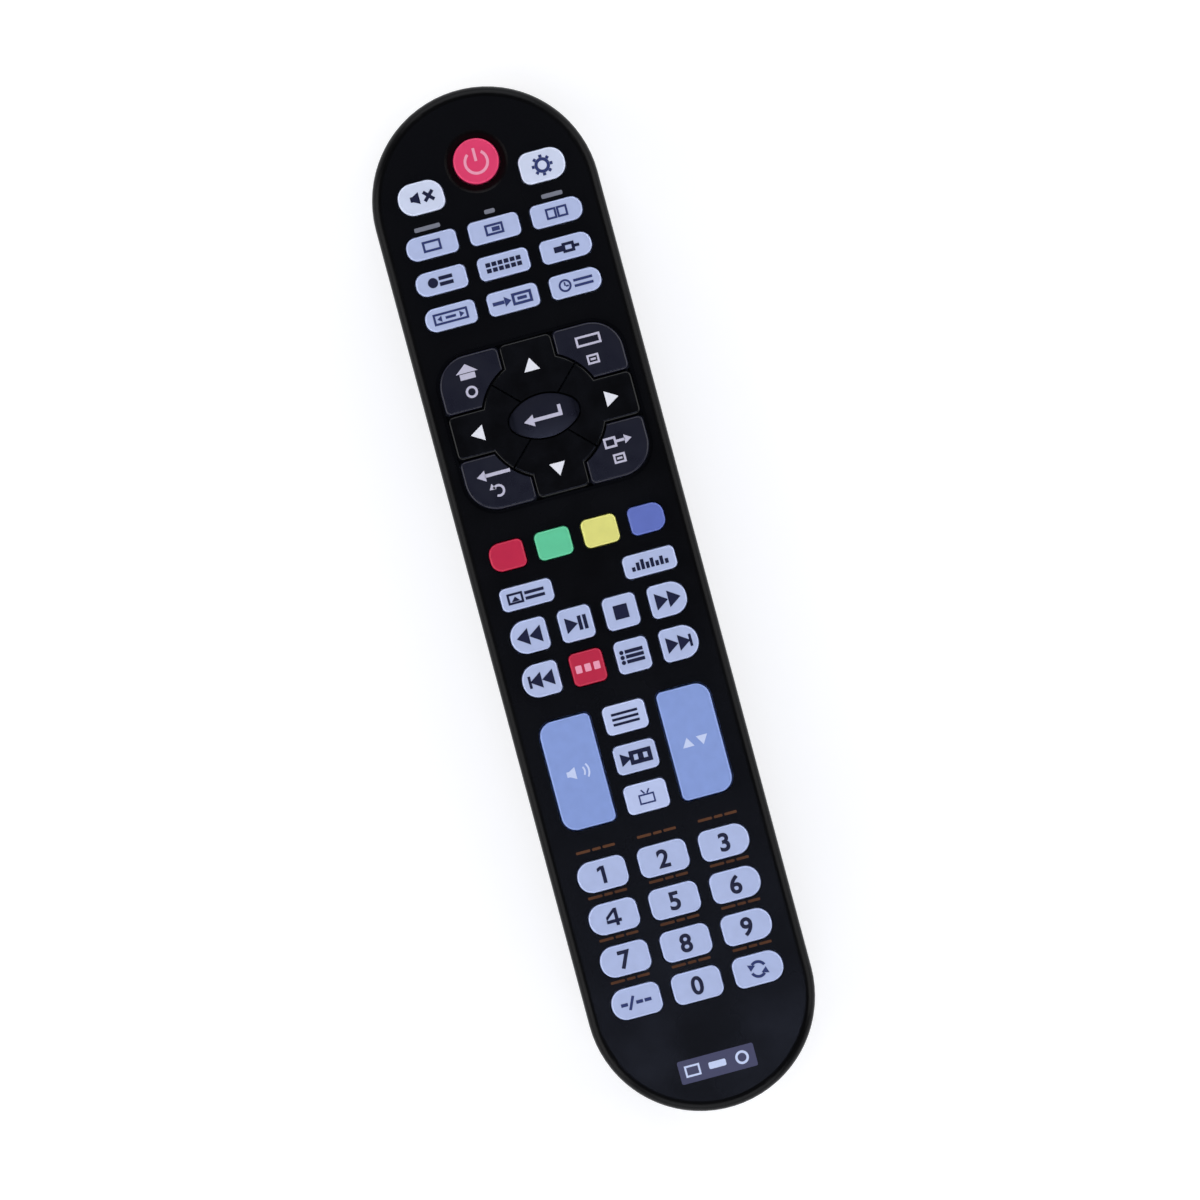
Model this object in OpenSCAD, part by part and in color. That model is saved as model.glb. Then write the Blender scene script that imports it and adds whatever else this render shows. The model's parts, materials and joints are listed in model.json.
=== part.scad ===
// Universal remote control, lying on its back with the keys up.
// Millimetres. +Y points to the power key's end, +Z out of the key face.
// The origin is under the middle of the case, on the surface that it lies on.

/* [Case] */
// From the widest row of keys to the side of the case
side_margin = 4.25; // [4:0.05:8]
// Clear face above the power key
head_margin = 10.55; // [9:0.05:16]
// Clear face below the number pad
foot_margin = 22.8; // [19:0.1:30]
// Wall of both case halves
wall = 1.6; // [1.3:0.1:2.2]
// Thickness of the key face
face_t = 1.8; // [1.4:0.1:2.6]
// Rounding of the key face's outer edge
face_edge_r = 2.2; // [1.8:0.1:3.5]
// Rounding of the back's outer edge
back_edge_r = 7; // [6:0.5:8]
// Height of the seam between the two halves
seam_z = 11; // [9.5:0.1:12]
// Height of the groove that shows the seam
seam_groove_h = 0.4; // [0.2:0.1:0.8]
// Depth of that groove
seam_groove_d = 0.3; // [0.2:0.1:0.4]
// Height of the lap that locates the halves
lap_h = 1.2; // [0.8:0.1:2]
// Gap in the lap
lap_gap = 0.1; // [0.05:0.05:0.2]

/* [Key action] */
// How far the caps stand above the face
key_stand = 1.2; // [1:0.1:2]
// Travel of a key
key_travel = 0.9; // [0.6:0.1:1.2]
// Swing of a rocker to each side, in degrees
rocker_swing = 2.5; // [1:0.5:3]
// Gap round a cap in its opening
key_gap = 0.25; // [0.2:0.05:0.35]
// Gap round a rocker in its opening
rocker_gap = 0.4; // [0.35:0.05:0.5]
// Rounding of a cap's upper edge
cap_edge_r = 0.5; // [0.3:0.05:0.8]
// Width of the rim that keeps a key under the face
flange_w = 0.6; // [0.5:0.05:0.7]
// Thickness of that rim
flange_t = 0.7; // [0.6:0.1:1]
// Play between that rim and the face
flange_gap = 0.15; // [0.1:0.05:0.3]
// Play left under a pressed key
press_gap = 0.25; // [0.2:0.05:0.5]
// Radius of a contact pill
pill_r = 1.1; // [0.8:0.05:1.2]
// Play left under a pressed contact pill
contact_gap = 0.05; // [0.05:0.05:0.1]
// Wall of a rubber dome
dome_t = 0.5; // [0.4:0.05:0.6]
// Height of a rubber dome above its mat
dome_h = 0.7; // [0.4:0.1:0.9]
// Gap between a dome and the key round it
dome_gap = 0.25; // [0.2:0.05:0.3]
// Radius of the rib that a rocker turns on
rib_r = 0.6; // [0.5:0.05:0.7]
// Length of that rib
rib_l = 7; // [5:0.5:8]

/* [Power row] */
// Diameter of the power key
power_d = 9.3; // [8:0.1:11]
// Diameter of the dished seat round the power key
power_well_d = 13; // [12:0.1:14]
// Depth of that seat
power_well_t = 0.7; // [0.4:0.1:1]
// From the power key to the keys beside it
side_key_gap = 3.45; // [2.4:0.05:4]
// How far their centres lie below the power key's
side_key_drop = 4.3; // [3:0.1:6]
// Width of the keys beside the power key
side_key_w = 9.4; // [8:0.1:11]
// Height of the keys beside the power key
side_key_h = 6.5; // [6:0.1:8]
// Upper inner corner radius of the mute key, which makes room for the power key
mute_cut_r = 3.2; // [2:0.1:3.4]
// Upper inner corner radius of the set key
set_cut_r = 2.1; // [1.2:0.1:3.4]
// Lower inner corner radius of both
side_key_foot_r = 1.9; // [1.2:0.1:3]

/* [Function keys] */
// Width of a function key
func_w = 10.6; // [9:0.1:12]
// Height of a function key
func_h = 4.8; // [4.6:0.05:7]
// Gap between function keys in a row
func_col_gap = 2.55; // [1.6:0.05:3]
// Gap between rows of function keys
func_row_gap = 2.66; // [1.6:0.02:3]
// Gap from the power row to the function keys
func_gap = 4.36; // [3:0.02:6]

/* [Navigation] */
// Half the width of the navigation cluster
nav_x = 19.2; // [18:0.1:21]
// Half the height of the navigation cluster
nav_y = 16.1; // [15:0.1:18]
// Corner radius of the cluster
nav_corner_r = 6.5; // [5:0.1:7]
// Gap between the cluster's keys
nav_gap = 0.35; // [0.3:0.05:0.5]
// Radius of the ring that the direction keys form
nav_ring_r = 12.5; // [11.5:0.1:13]
// Half the width of the up and down arms
nav_arm_x = 5.45; // [5:0.05:6]
// Half the height of the left and right arms
nav_arm_y = 4.55; // [4.2:0.05:5.2]
// Half the width of the enter key
enter_x = 7.3; // [6.5:0.1:8]
// Half the height of the enter key
enter_y = 4.4; // [4:0.1:5]
// End radius of the enter key
enter_end_r = 2.7; // [2.4:0.1:3]
// Crown radius of the enter key
enter_crown_r = 45; // [30:1:80]
// Width of the stepped rim round the cluster
nav_rim_w = 0.6; // [0.3:0.1:1]
// Depth of that rim
nav_rim_t = 0.4; // [0.2:0.1:0.8]
// Gap from the function keys to the cluster
nav_row_gap = 5.97; // [4.6:0.01:8]

/* [Colour and mode keys] */
// Width of a colour key
colour_w = 7.25; // [6.5:0.05:8.5]
// Height of a colour key
colour_h = 5.8; // [5.4:0.05:8]
// Outer corner radius of the first and the last colour key
colour_end_r = 2.3; // [1.2:0.1:2.6]
// Gap between colour keys
colour_col_gap = 2.55; // [1.6:0.05:3]
// Gap from the navigation cluster to the colour keys
colour_gap = 6.6; // [4.6:0.02:9]
// Width of a mode key
mode_w = 10.9; // [9:0.1:12.5]
// Height of a mode key
mode_h = 4.75; // [4.6:0.05:7]
// Gap between the two mode keys
mode_col_gap = 15; // [12:0.1:16]
// Gap from the colour keys to the mode keys
mode_gap = 3.52; // [1.6:0.02:5]

/* [Transport keys] */
// Width of the four inner keys
inner_w = 6.9; // [6.5:0.1:8.5]
// Width of the four outer keys
outer_w = 7.7; // [7:0.1:9]
// Height of a transport key
transport_h = 6.8; // [6:0.1:8.5]
// Gap between keys in a row
transport_col_gap = 2.57; // [1.6:0.01:3]
// Gap between the two rows
transport_row_gap = 2.4; // [1.6:0.05:3]
// Gap from the mode keys to the transport keys
transport_gap = 2.43; // [1.6:0.01:4]

/* [Rockers and middle keys] */
// Width of a rocker
rocker_w = 10.8; // [10:0.1:13]
// Length of a rocker
rocker_h = 22.7; // [20:0.1:28]
// Radius of a rocker's outer corners
rocker_corner_r = 3; // [2:0.1:4]
// From a rocker's middle to its contact pills
rocker_pill_y = 7; // [5:0.1:8]
// Gap from the transport keys to the rockers
rocker_row_gap = 5.4; // [4:0.05:8]
// Width of a middle key
middle_w = 8.8; // [8:0.1:11]
// Height of a middle key
middle_h = 6; // [5.4:0.05:7.2]
// Gap between middle keys
middle_row_gap = 2.37; // [1.5:0.01:3]
// Gap from the middle keys to the rockers
middle_col_gap = 2.67; // [1.7:0.01:3]

/* [Number pad] */
// Width of a number key
number_w = 10.25; // [9:0.05:12]
// Height of a number key
number_h = 6.35; // [6:0.05:8]
// Gap between number keys in a row
number_col_gap = 2.6; // [1.6:0.05:3]
// Gap between rows of number keys
number_row_gap = 2.57; // [1.6:0.01:3]
// Gap from the rockers to the number pad
number_gap = 6.87; // [5:0.01:9]

/* [Key corners] */
// Half the straight part of a rounded key end
end_flat = 0.2; // [0.1:0.05:0.6]
// Corner radius of keys with square ends
key_corner_r = 1.2; // [1:0.05:1.8]
// Corner radius of the number keys
soft_corner_r = 1.8; // [1.2:0.05:2.4]

/* [Board and mat] */
// Thickness of the circuit board
board_t = 1.6; // [1:0.1:2]
// Gap from the case wall to the board's edge
board_gap = 0.6; // [0.4:0.1:1.2]
// Thickness of the rubber mat
mat_t = 0.8; // [0.6:0.1:1.2]
// Gap from the case wall to the mat's edge
mat_gap = 1; // [0.8:0.1:1.4]
// Radius of the posts that carry the board
post_r = 2; // [1.6:0.1:2.2]
// Radius of the pins on those posts
pin_r = 0.9; // [0.7:0.05:1]
// Gap round a pin in the board
pin_gap = 0.2; // [0.1:0.05:0.3]
// Radius of the studs under the face that hold the mat down
stud_r = 1.3; // [1:0.1:1.6]
// From the middle of the case to the posts at both ends
end_post_x = 10; // [9:0.1:11]
// Diameter of the infrared lamp
led_d = 5; // [3:0.5:5]
// Length of the lamp with its dome
led_l = 8.6; // [7:0.1:9]
// Gap round the lamp in its hole
led_gap = 0.2; // [0.1:0.05:0.4]
// How far the lamp's tip stays inside the end
led_inset = 0.3; // [0.1:0.1:1]
// Half the distance between the lamp's legs
led_leg_x = 1.27; // [1:0.01:1.5]

/* [Batteries] */
// Diameter of a cell
cell_d = 10.5; // [10:0.1:12]
// Length of a cell with its button
cell_l = 44.5; // [44:0.1:50]
// Diameter of the button
button_d = 3.8; // [3.4:0.1:5]
// Length of the button
button_l = 0.8; // [0.6:0.1:1.2]
// Gap round a cell
cell_gap = 0.3; // [0.2:0.05:0.6]
// Wall of the battery bay
bay_wall = 1.2; // [1:0.1:1.6]
// Roof of the battery bay
roof_t = 0.9; // [0.8:0.1:1.4]
// Gap from that roof to the board
roof_gap = 0.2; // [0.1:0.1:0.6]
// From the foot of the case to the bay
bay_margin = 24.9; // [24:0.1:30]
// Length that a spring fills
spring_l = 5.2; // [4.8:0.1:7]
// Length that a button contact fills
button_room = 1.4; // [1.2:0.1:2]
// Thickness of a contact plate
plate_t = 0.4; // [0.3:0.05:0.5]
// Width of a contact plate
plate_w = 8.4; // [8:0.1:9]
// Diameter of the spring wire
wire_d = 0.6; // [0.5:0.05:0.7]
// Radius of a spring at its plate
spring_r = 3.6; // [3:0.1:4]
// Radius of a spring at its cell
spring_tip_r = 2.2; // [2:0.1:3]

/* [Battery door] */
// Width of the door
door_w = 33; // [30:0.5:34]
// Thickness of the door
door_t = 1.9; // [1.8:0.1:2.4]
// Width of the tongue on each side of the door
tongue_w = 1.2; // [0.8:0.1:1.4]
// Thickness of that tongue
tongue_t = 0.8; // [0.6:0.1:0.9]
// Gap round the door
door_gap = 0.2; // [0.15:0.05:0.3]
// How far the door reaches past the bay
door_lap = 7.4; // [6:0.1:12]
// Floor of the case above the door
subfloor_t = 1.2; // [1:0.1:1.6]
// Number of grip grooves in the door
grip_count = 5; // [3:1:7]
// Distance between grip grooves
grip_pitch = 2.2; // [2:0.1:3]
// Length of a grip groove
grip_l = 14; // [10:0.5:20]
// Radius of a grip groove
grip_r = 0.7; // [0.5:0.1:0.9]
// Depth of a grip groove
grip_depth = 0.4; // [0.2:0.1:0.5]
// From the door's upper edge to its first grip groove
grip_margin = 6; // [4:0.5:10]

/* [Hidden] */
$fn = 48;
// Overshoot of a cut past the face that it opens
over = 1;
// How far a post or a pill is let into the part that carries it
root = 0.4;
// A length that reaches past any part of the case
far = 1000;
// Sizes that come out of a sum or an angle are whole numbers of these
size_step = 0.01;
function whole(v) = round(v / size_step) * size_step;
// Facets round the crown of the enter key
crown_fn = 180;
// Largest share of a corner radius that an edge rounding takes
edge_share = 0.45;

// Heights, from the back upwards
cell_z = door_t + cell_gap + cell_d / 2;
roof_z = cell_z + cell_d / 2 + cell_gap;
board_z = roof_z + roof_t + roof_gap;
mat_z = board_z + board_t;
mat_top = mat_z + mat_t;
flange_z = mat_top + press_gap + key_travel;
face_z = flange_z + flange_t + flange_gap;
case_h = face_z + face_t;
cap_top = case_h + key_stand;
pill_z = mat_z + key_travel + contact_gap;
dome_top = mat_top + dome_h;
recess_top = dome_top + key_travel + press_gap;
floor_z = door_t + door_gap + subfloor_t;

// Radii of a dome, its bore and the recess that it stands in
dome_bore_r = pill_r + dome_gap;
dome_r = dome_bore_r + dome_t;
recess_r = dome_r + dome_gap;

// A rocker's rim lies low enough to swing, on a rib that rests on the mat
rocker_drop = whole((rocker_h / 2 + flange_w) * sin(rocker_swing));
rocker_pill_drop = whole((rocker_pill_y + pill_r) * sin(rocker_swing));
rocker_flange_t = flange_t + key_travel - 2 * rocker_drop;
rocker_flange_z = mat_top + press_gap + rocker_drop;
rocker_axis_z = mat_top + contact_gap + rib_r;
rocker_pill_z = mat_z + rocker_pill_drop + contact_gap;

// Steps from one key centre to the next
func_step_x = func_w + func_col_gap;
func_step_y = func_h + func_row_gap;
colour_step = colour_w + colour_col_gap;
transport_step_y = transport_h + transport_row_gap;
middle_step = middle_h + middle_row_gap;
number_step_x = number_w + number_col_gap;
number_step_y = number_h + number_row_gap;

// Distances of the key rows from the head end, down to the foot end
power_s = head_margin + power_d / 2;
side_key_s = power_s + side_key_drop;
func_s = side_key_s + side_key_h / 2 + func_gap + func_h / 2;
nav_s = func_s + 2 * func_step_y + func_h / 2 + nav_row_gap + nav_y;
colour_s = nav_s + nav_y + colour_gap + colour_h / 2;
mode_s = colour_s + colour_h / 2 + mode_gap + mode_h / 2;
transport_s = mode_s + mode_h / 2 + transport_gap + transport_h / 2;
transport_end_s = transport_s + transport_step_y + transport_h / 2;
rocker_s = transport_end_s + rocker_row_gap + rocker_h / 2;
rocker_end_s = rocker_s + max(rocker_h / 2, middle_step + middle_h / 2);
number_s = rocker_end_s + number_gap + number_h / 2;
number_end_s = number_s + 3 * number_step_y + number_h / 2;
case_l = whole(number_end_s + foot_margin);

// The same rows in the part's frame
head_y = case_l / 2;
foot_y = -case_l / 2;
power_y = head_y - power_s;
side_key_y = head_y - side_key_s;
func_y = head_y - func_s;
nav_cy = head_y - nav_s;
colour_y = head_y - colour_s;
mode_y = head_y - mode_s;
transport_y = head_y - transport_s;
rocker_y = head_y - rocker_s;
number_y = head_y - number_s;

// Columns, outwards from the middle
side_key_x = power_d / 2 + side_key_gap + side_key_w / 2;
mode_x = (mode_col_gap + mode_w) / 2;
inner_x = (inner_w + transport_col_gap) / 2;
outer_x = inner_x + inner_w / 2 + transport_col_gap + outer_w / 2;
rocker_x = middle_w / 2 + middle_col_gap + rocker_w / 2;

// The case is as wide as its widest row of keys needs
rows_half_w = [
    nav_x,
    func_step_x + func_w / 2,
    1.5 * colour_step + colour_w / 2,
    mode_x + mode_w / 2,
    outer_x + outer_w / 2,
    rocker_x + rocker_w / 2,
    number_step_x + number_w / 2
];
case_r = max(rows_half_w) + side_margin;
end_cy = head_y - case_r;

// Posts that carry the board, in the clear strips between the rows of keys
head_post_y = power_y + power_d / 2;
foot_post_y = head_y - number_end_s - number_h;
strip_posts_y = [
    nav_cy + nav_y + nav_row_gap / 2,
    colour_y + colour_h / 2 + colour_gap / 2,
    number_y + number_h / 2 + number_gap / 2
];
posts = concat(
    [for (side = [-1, 1]) [side * end_post_x, head_post_y]],
    [for (y = strip_posts_y) [0, y]],
    [for (side = [-1, 1]) [side * end_post_x, foot_post_y]]
);

// Battery bay
cell_x = (cell_d + cell_gap) / 2;
bay_x = cell_x + cell_d / 2 + cell_gap;
bay_y0 = foot_y + bay_margin;
bay_y1 = bay_y0 + button_room + cell_l + spring_l;
door_y = bay_y1 + door_lap;
plate_h = cell_d - 2 * cell_gap;

// Infrared lamp, under the board
led_rim_w = 0.4;
led_rim_t = 1;
led_leg_t = 0.5;
led_leg_l = 3;
led_z = board_z - led_d / 2 - led_rim_w - roof_gap;
led_tip_y = head_y - led_inset;

// Chip and capacitor on the underside of the board
chip_r = 5;
chip_sphere_r = 11;
capacitor_r = 2.5;
capacitor_l = 8;

// Colours
black = "#141418";
nav_grey = "#24232e";
pale_key = "#aab3d2";
rocker_blue = "#8299d4";
power_red = "#cb446e";
app_red = "#b42f4a";
dark_rubber = "#2b2b30";
board_green = "#2f6b3c";
nickel = "#c8c8c4";
cell_shade = "#4a5058";
lamp_tint = "#5c4a60";

// Corner radii of a key, from its upper right corner anticlockwise.
// side is -1 for the left column, 1 for the right one and 0 between.
function corners(side, outer, inner) =
    side < 0 ? [inner, outer, outer, inner] :
    side > 0 ? [outer, inner, inner, outer] :
    [inner, inner, inner, inner];

// Radius of a rounded key end
function end_r(h) = h / 2 - end_flat;

// Keys as name, centre, size, corner radii and colour
side_keys = [
    [
        "mute_key", [-side_key_x, side_key_y], [side_key_w, side_key_h],
        [mute_cut_r, end_r(side_key_h), end_r(side_key_h), side_key_foot_r], pale_key
    ],
    [
        "set_key", [side_key_x, side_key_y], [side_key_w, side_key_h],
        [end_r(side_key_h), set_cut_r, side_key_foot_r, end_r(side_key_h)], pale_key
    ]
];

func_keys = [
    for (row = [0:2], col = [-1:1])
    [
        str("function_key_", 3 * row + col + 2),
        [col * func_step_x, func_y - row * func_step_y], [func_w, func_h],
        corners(col, end_r(func_h), key_corner_r), pale_key
    ]
];

colour_names = ["red_key", "green_key", "yellow_key", "blue_key"];
colour_tints = ["#b52745", "#57be8d", "#d4cf6f", "#5465b4"];
colour_keys = [
    for (i = [0:3])
    [
        colour_names[i], [(i - 1.5) * colour_step, colour_y], [colour_w, colour_h],
        corners(i == 0 ? -1 : i == 3 ? 1 : 0, colour_end_r, key_corner_r),
        colour_tints[i]
    ]
];

mode_names = ["picture_mode_key", "sound_mode_key"];
mode_keys = [
    for (i = [0:1])
    [
        mode_names[i], [(2 * i - 1) * mode_x, mode_y], [mode_w, mode_h],
        corners(0, 0, key_corner_r), pale_key
    ]
];

transport_names = [
    ["rewind_key", "play_key", "stop_key", "forward_key"],
    ["previous_key", "app_key", "list_key", "next_key"]
];
transport_x = [-outer_x, -inner_x, inner_x, outer_x];
transport_w = [outer_w, inner_w, inner_w, outer_w];
transport_sides = [-1, 0, 0, 1];
transport_keys = [
    for (row = [0:1], i = [0:3])
    [
        transport_names[row][i],
        [transport_x[i], transport_y - row * transport_step_y],
        [transport_w[i], transport_h],
        corners(transport_sides[i], end_r(transport_h), key_corner_r),
        transport_names[row][i] == "app_key" ? app_red : pale_key
    ]
];

middle_names = ["menu_key", "video_key", "source_key"];
middle_keys = [
    for (i = [0:2])
    [
        middle_names[i], [0, rocker_y + (1 - i) * middle_step], [middle_w, middle_h],
        corners(0, 0, key_corner_r), pale_key
    ]
];

number_names = [
    ["number_key_1", "number_key_2", "number_key_3"],
    ["number_key_4", "number_key_5", "number_key_6"],
    ["number_key_7", "number_key_8", "number_key_9"],
    ["digits_key", "number_key_0", "recall_key"]
];
number_keys = [
    for (row = [0:3], col = [-1:1])
    [
        number_names[row][col + 1],
        [col * number_step_x, number_y - row * number_step_y], [number_w, number_h],
        corners(col, end_r(number_h), soft_corner_r), pale_key
    ]
];

// Corner keys of the navigation cluster, as name and the corner they fill
corner_keys = [
    ["home_key", [-1, 1]],
    ["display_key", [1, 1]],
    ["return_key", [-1, -1]],
    ["exit_key", [1, -1]]
];

// Direction keys, as name, turn from the right, half width of the arm and its reach
direction_keys = [
    ["right_key", 0, nav_arm_y, nav_x],
    ["up_key", 90, nav_arm_x, nav_y],
    ["left_key", 180, nav_arm_y, nav_x],
    ["down_key", 270, nav_arm_x, nav_y]
];

rockers = [
    ["volume_rocker", -1],
    ["channel_rocker", 1]
];

slab_keys = concat(
    side_keys, func_keys, colour_keys, mode_keys, transport_keys, middle_keys, number_keys
);

// Middle of a corner key, from the middle of the cluster
corner_key_size = [nav_x - nav_arm_x - nav_gap, nav_y - nav_arm_y - nav_gap];
function corner_key_at(k) = [
    k[1].x * (nav_x - corner_key_size.x / 2),
    k[1].y * (nav_y - corner_key_size.y / 2)
];

// Contact pills, clear of the cluster's edge: of a corner key past the ring,
// and of a direction key out on its arm
pill_margin = recess_r + 2 * key_corner_r;
function corner_pill_at(k) = [
    k[1].x * (nav_x - nav_corner_r),
    k[1].y * (nav_y - pill_margin)
];
function direction_pill_at(k) = (k[3] - pill_margin) * [cos(k[1]), sin(k[1])];

// Every contact pill, in the part's frame
nav_c = [0, nav_cy];
pills = concat(
    [[0, power_y], nav_c],
    [for (k = slab_keys) k[1]],
    [for (k = corner_keys) nav_c + corner_pill_at(k)],
    [for (k = direction_keys) nav_c + direction_pill_at(k)],
    [for (k = rockers, end = [-1, 1]) [k[1] * rocker_x, rocker_y + end * rocker_pill_y]]
);

function names(list) = [for (k = list) k[0]];

NODES = concat(
    [
        "top_cover", "rear_cover", "battery_door", "keypad_mat",
        "circuit_board", "ir_led", "battery_cells", "battery_contacts",
        "power_key", "enter_key"
    ],
    names(slab_keys), names(corner_keys), names(direction_keys), names(rockers)
);

echo(case_size = [2 * case_r, case_l, case_h], nodes = len(NODES));

// Quarter disc in the first quadrant
module quarter_disc(r) {
    intersection() {
        circle(r);
        square(2 * r);
    }
}

// Section of an edge from x0 out to x1, with its top rounded
module edge_profile(x0, x1, r, z0, z1) {
    if (x1 - r > x0)
        translate([x0, z0])
            square([x1 - r - x0, z1 - z0]);
    translate([x1 - r, z0])
        square([r, z1 - z0 - r]);
    translate([x1 - r, z1 - r])
        quarter_disc(r);
}

// Straight edge along +Y, let into the core behind its rounding
module edge_bar(length, r, z0, z1) {
    translate([0, length, 0])
        rotate([90, 0, 0])
            linear_extrude(length)
                edge_profile(-r - root, 0, r, z0, z1);
}

// Round edge about the Z axis, filled to the axis
module edge_turn(angle, radius, r, z0, z1) {
    rotate_extrude(angle = angle)
        edge_profile(0, radius, r, z0, z1);
}

// Rectangle of half sizes a and b without its corner squares, drawn in by d
function notched(a, b, r, d) = [
    [a - d, b - r[0]], [a - r[0], b - r[0]], [a - r[0], b - d],
    [-a + r[1], b - d], [-a + r[1], b - r[1]], [-a + d, b - r[1]],
    [-a + d, -b + r[2]], [-a + r[2], -b + r[2]], [-a + r[2], -b + d],
    [a - r[3], -b + d], [a - r[3], -b + r[3]], [a - d, -b + r[3]]
];

// Half sizes across and along side i of a rectangle
function across(size, i) = size[i % 2] / 2;
function along(size, i) = size[(i + 1) % 2] / 2;

// Rectangle with four corner radii, grown all round
module key_outline(size, radii, grow = 0) {
    grown = size + 2 * [grow, grow];
    r = [for (v = radii) v + grow];
    polygon(notched(grown.x / 2, grown.y / 2, r, 0));
    for (i = [0:3])
        rotate(90 * i)
            translate([across(grown, i) - r[i], along(grown, i) - r[i]])
                quarter_disc(r[i]);
}

// Key cap: that outline from z0 to z1, with its upper edge rounded
module key_cap(size, radii, z0, z1) {
    edge = min(cap_edge_r, edge_share * min(radii));
    lap = edge_share * root;
    translate([0, 0, z0])
        linear_extrude(z1 - z0)
            polygon(notched(size.x / 2, size.y / 2, [for (r = radii) r - lap], edge + lap));
    for (i = [0:3])
        rotate(90 * i) {
            last = radii[(i + 3) % 4];
            translate([across(size, i), last - along(size, i), 0])
                edge_bar(2 * along(size, i) - last - radii[i], edge, z0, z1);
            translate([across(size, i) - radii[i], along(size, i) - radii[i], 0])
                edge_turn(90, radii[i], edge, z0, z1);
        }
}

// Hollows a key round its contact pill, so that it can sink over its dome
module over_dome(at, bottom) {
    difference() {
        children();
        translate([at.x, at.y, 0])
            cylinder(r = recess_r, h = recess_top);
    }
    translate([at.x, at.y, bottom])
        cylinder(r = pill_r, h = recess_top - bottom + root);
}

// Oval of four arcs
module oval(a, b, end) {
    rise = (a * a + b * b - 2 * a * end) / (2 * (b - end));
    lean = atan((a - end) / (rise - b));
    cut_x = rise * sin(lean);
    intersection() {
        lens(rise, b);
        square([2 * cut_x, 4 * b], center = true);
    }
    for (side = [-1, 1])
        intersection() {
            translate([side * (a - end), 0])
                circle(end);
            translate([side * (cut_x + a), 0])
                square([2 * a, 4 * b], center = true);
        }
}

// Lens between two arcs of radius rise that bulge to height b
module lens(rise, b) {
    intersection() {
        translate([0, b - rise])
            circle(rise);
        translate([0, rise - b])
            circle(rise);
    }
}

// Outline of the case, with round ends, drawn in by inset
module case_outline(inset) {
    r = case_r - inset;
    square([2 * r, 2 * end_cy], center = true);
    for (turn = [0, 180])
        rotate(turn)
            intersection() {
                translate([0, end_cy])
                    circle(r);
                translate([-far / 2, end_cy])
                    square(far);
            }
}

// That outline from z0 to z1, with its upper edge rounded
module case_solid(inset, r, z0, z1) {
    half_w = case_r - inset;
    translate([0, 0, z0])
        linear_extrude(z1 - z0)
            square(2 * [half_w - r, end_cy], center = true);
    for (turn = [0, 180])
        rotate(turn) {
            translate([half_w, -end_cy, 0])
                edge_bar(2 * end_cy, r, z0, z1);
            translate([0, end_cy, 0])
                for (quarter = [0, 90])
                    rotate(quarter)
                        edge_turn(90, half_w, r, z0, z1);
        }
}

// The same with its lower edge rounded
module case_solid_down(inset, r, z0, z1) {
    mirror([0, 0, 1])
        case_solid(inset, r, -z1, -z0);
}

// Round hole for the lamp through the head end
module led_hole() {
    translate([0, head_y + over, led_z])
        rotate([90, 0, 0])
            cylinder(d = led_d + 2 * led_gap, h = wall + 2 * over + led_inset);
}

// Openings in the key face
module key_openings() {
    translate([0, 0, face_z - over])
        linear_extrude(face_t + 2 * over) {
            translate([0, power_y])
                circle(d = power_d + 2 * key_gap);
            for (k = slab_keys)
                translate(k[1])
                    key_outline(k[2], k[3], key_gap);
            for (k = rockers)
                translate([k[1] * rocker_x, rocker_y])
                    key_outline([rocker_w, rocker_h], rocker_corners(k[1]), rocker_gap);
            translate(nav_c)
                nav_outline(key_gap);
        }
    translate([0, nav_cy, case_h - nav_rim_t])
        linear_extrude(nav_rim_t + over)
            nav_outline(key_gap + nav_rim_w);
    translate([0, power_y, case_h - power_well_t])
        cylinder(d1 = power_d + 2 * key_gap, d2 = power_well_d, h = power_well_t);
}

module nav_outline(grow) {
    key_outline(2 * [nav_x, nav_y], nav_corner_r * [1, 1, 1, 1], grow);
}

function rocker_corners(side) = corners(side, rocker_corner_r, key_corner_r);

// Upper case half with the key face
module top_cover() {
    color(black)
        difference() {
            union() {
                difference() {
                    case_solid(0, face_edge_r, seam_z, case_h);
                    translate([0, 0, seam_z - over])
                        linear_extrude(face_z - seam_z + over)
                            case_outline(wall);
                }
                for (at = posts)
                    translate([at.x, at.y, mat_top])
                        cylinder(r = stud_r, h = face_z + root - mat_top);
            }
            key_openings();
            led_hole();
            translate([0, 0, seam_z - over])
                linear_extrude(lap_h + lap_gap + over)
                    case_outline(wall / 2 - lap_gap);
        }
}

// Lower case half with the battery bay and the posts for the board
module rear_cover() {
    color(black)
        difference() {
            union() {
                difference() {
                    case_solid_down(0, back_edge_r, 0, seam_z);
                    rear_hollow();
                }
                translate([0, 0, seam_z])
                    linear_extrude(lap_h)
                        difference() {
                            case_outline(wall / 2);
                            case_outline(wall);
                        }
                battery_bay();
                board_posts();
            }
            translate([-bay_x, bay_y0, 0])
                cube([2 * bay_x, bay_y1 - bay_y0, roof_z]);
            door_shape(door_gap);
            seam_groove();
            led_hole();
        }
}

// Groove round the lower half, just under the seam
module seam_groove() {
    translate([0, 0, seam_z - seam_groove_h])
        linear_extrude(seam_groove_h + over)
            difference() {
                case_outline(-over);
                case_outline(seam_groove_d);
            }
}

// Space inside the lower half, with a higher floor where the door slides
module rear_hollow() {
    difference() {
        case_solid_down(wall, back_edge_r - wall, wall, seam_z + over);
        translate([-far / 2, door_y + door_gap + bay_wall - far, -far + floor_z])
            cube(far);
    }
}

// Box round the battery bay, before it is hollowed
module battery_bay() {
    translate([-bay_x - bay_wall, bay_y0 - bay_wall, floor_z - root])
        cube([
            2 * (bay_x + bay_wall),
            bay_y1 - bay_y0 + 2 * bay_wall,
            roof_z + roof_t - floor_z + root
        ]);
}

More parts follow.
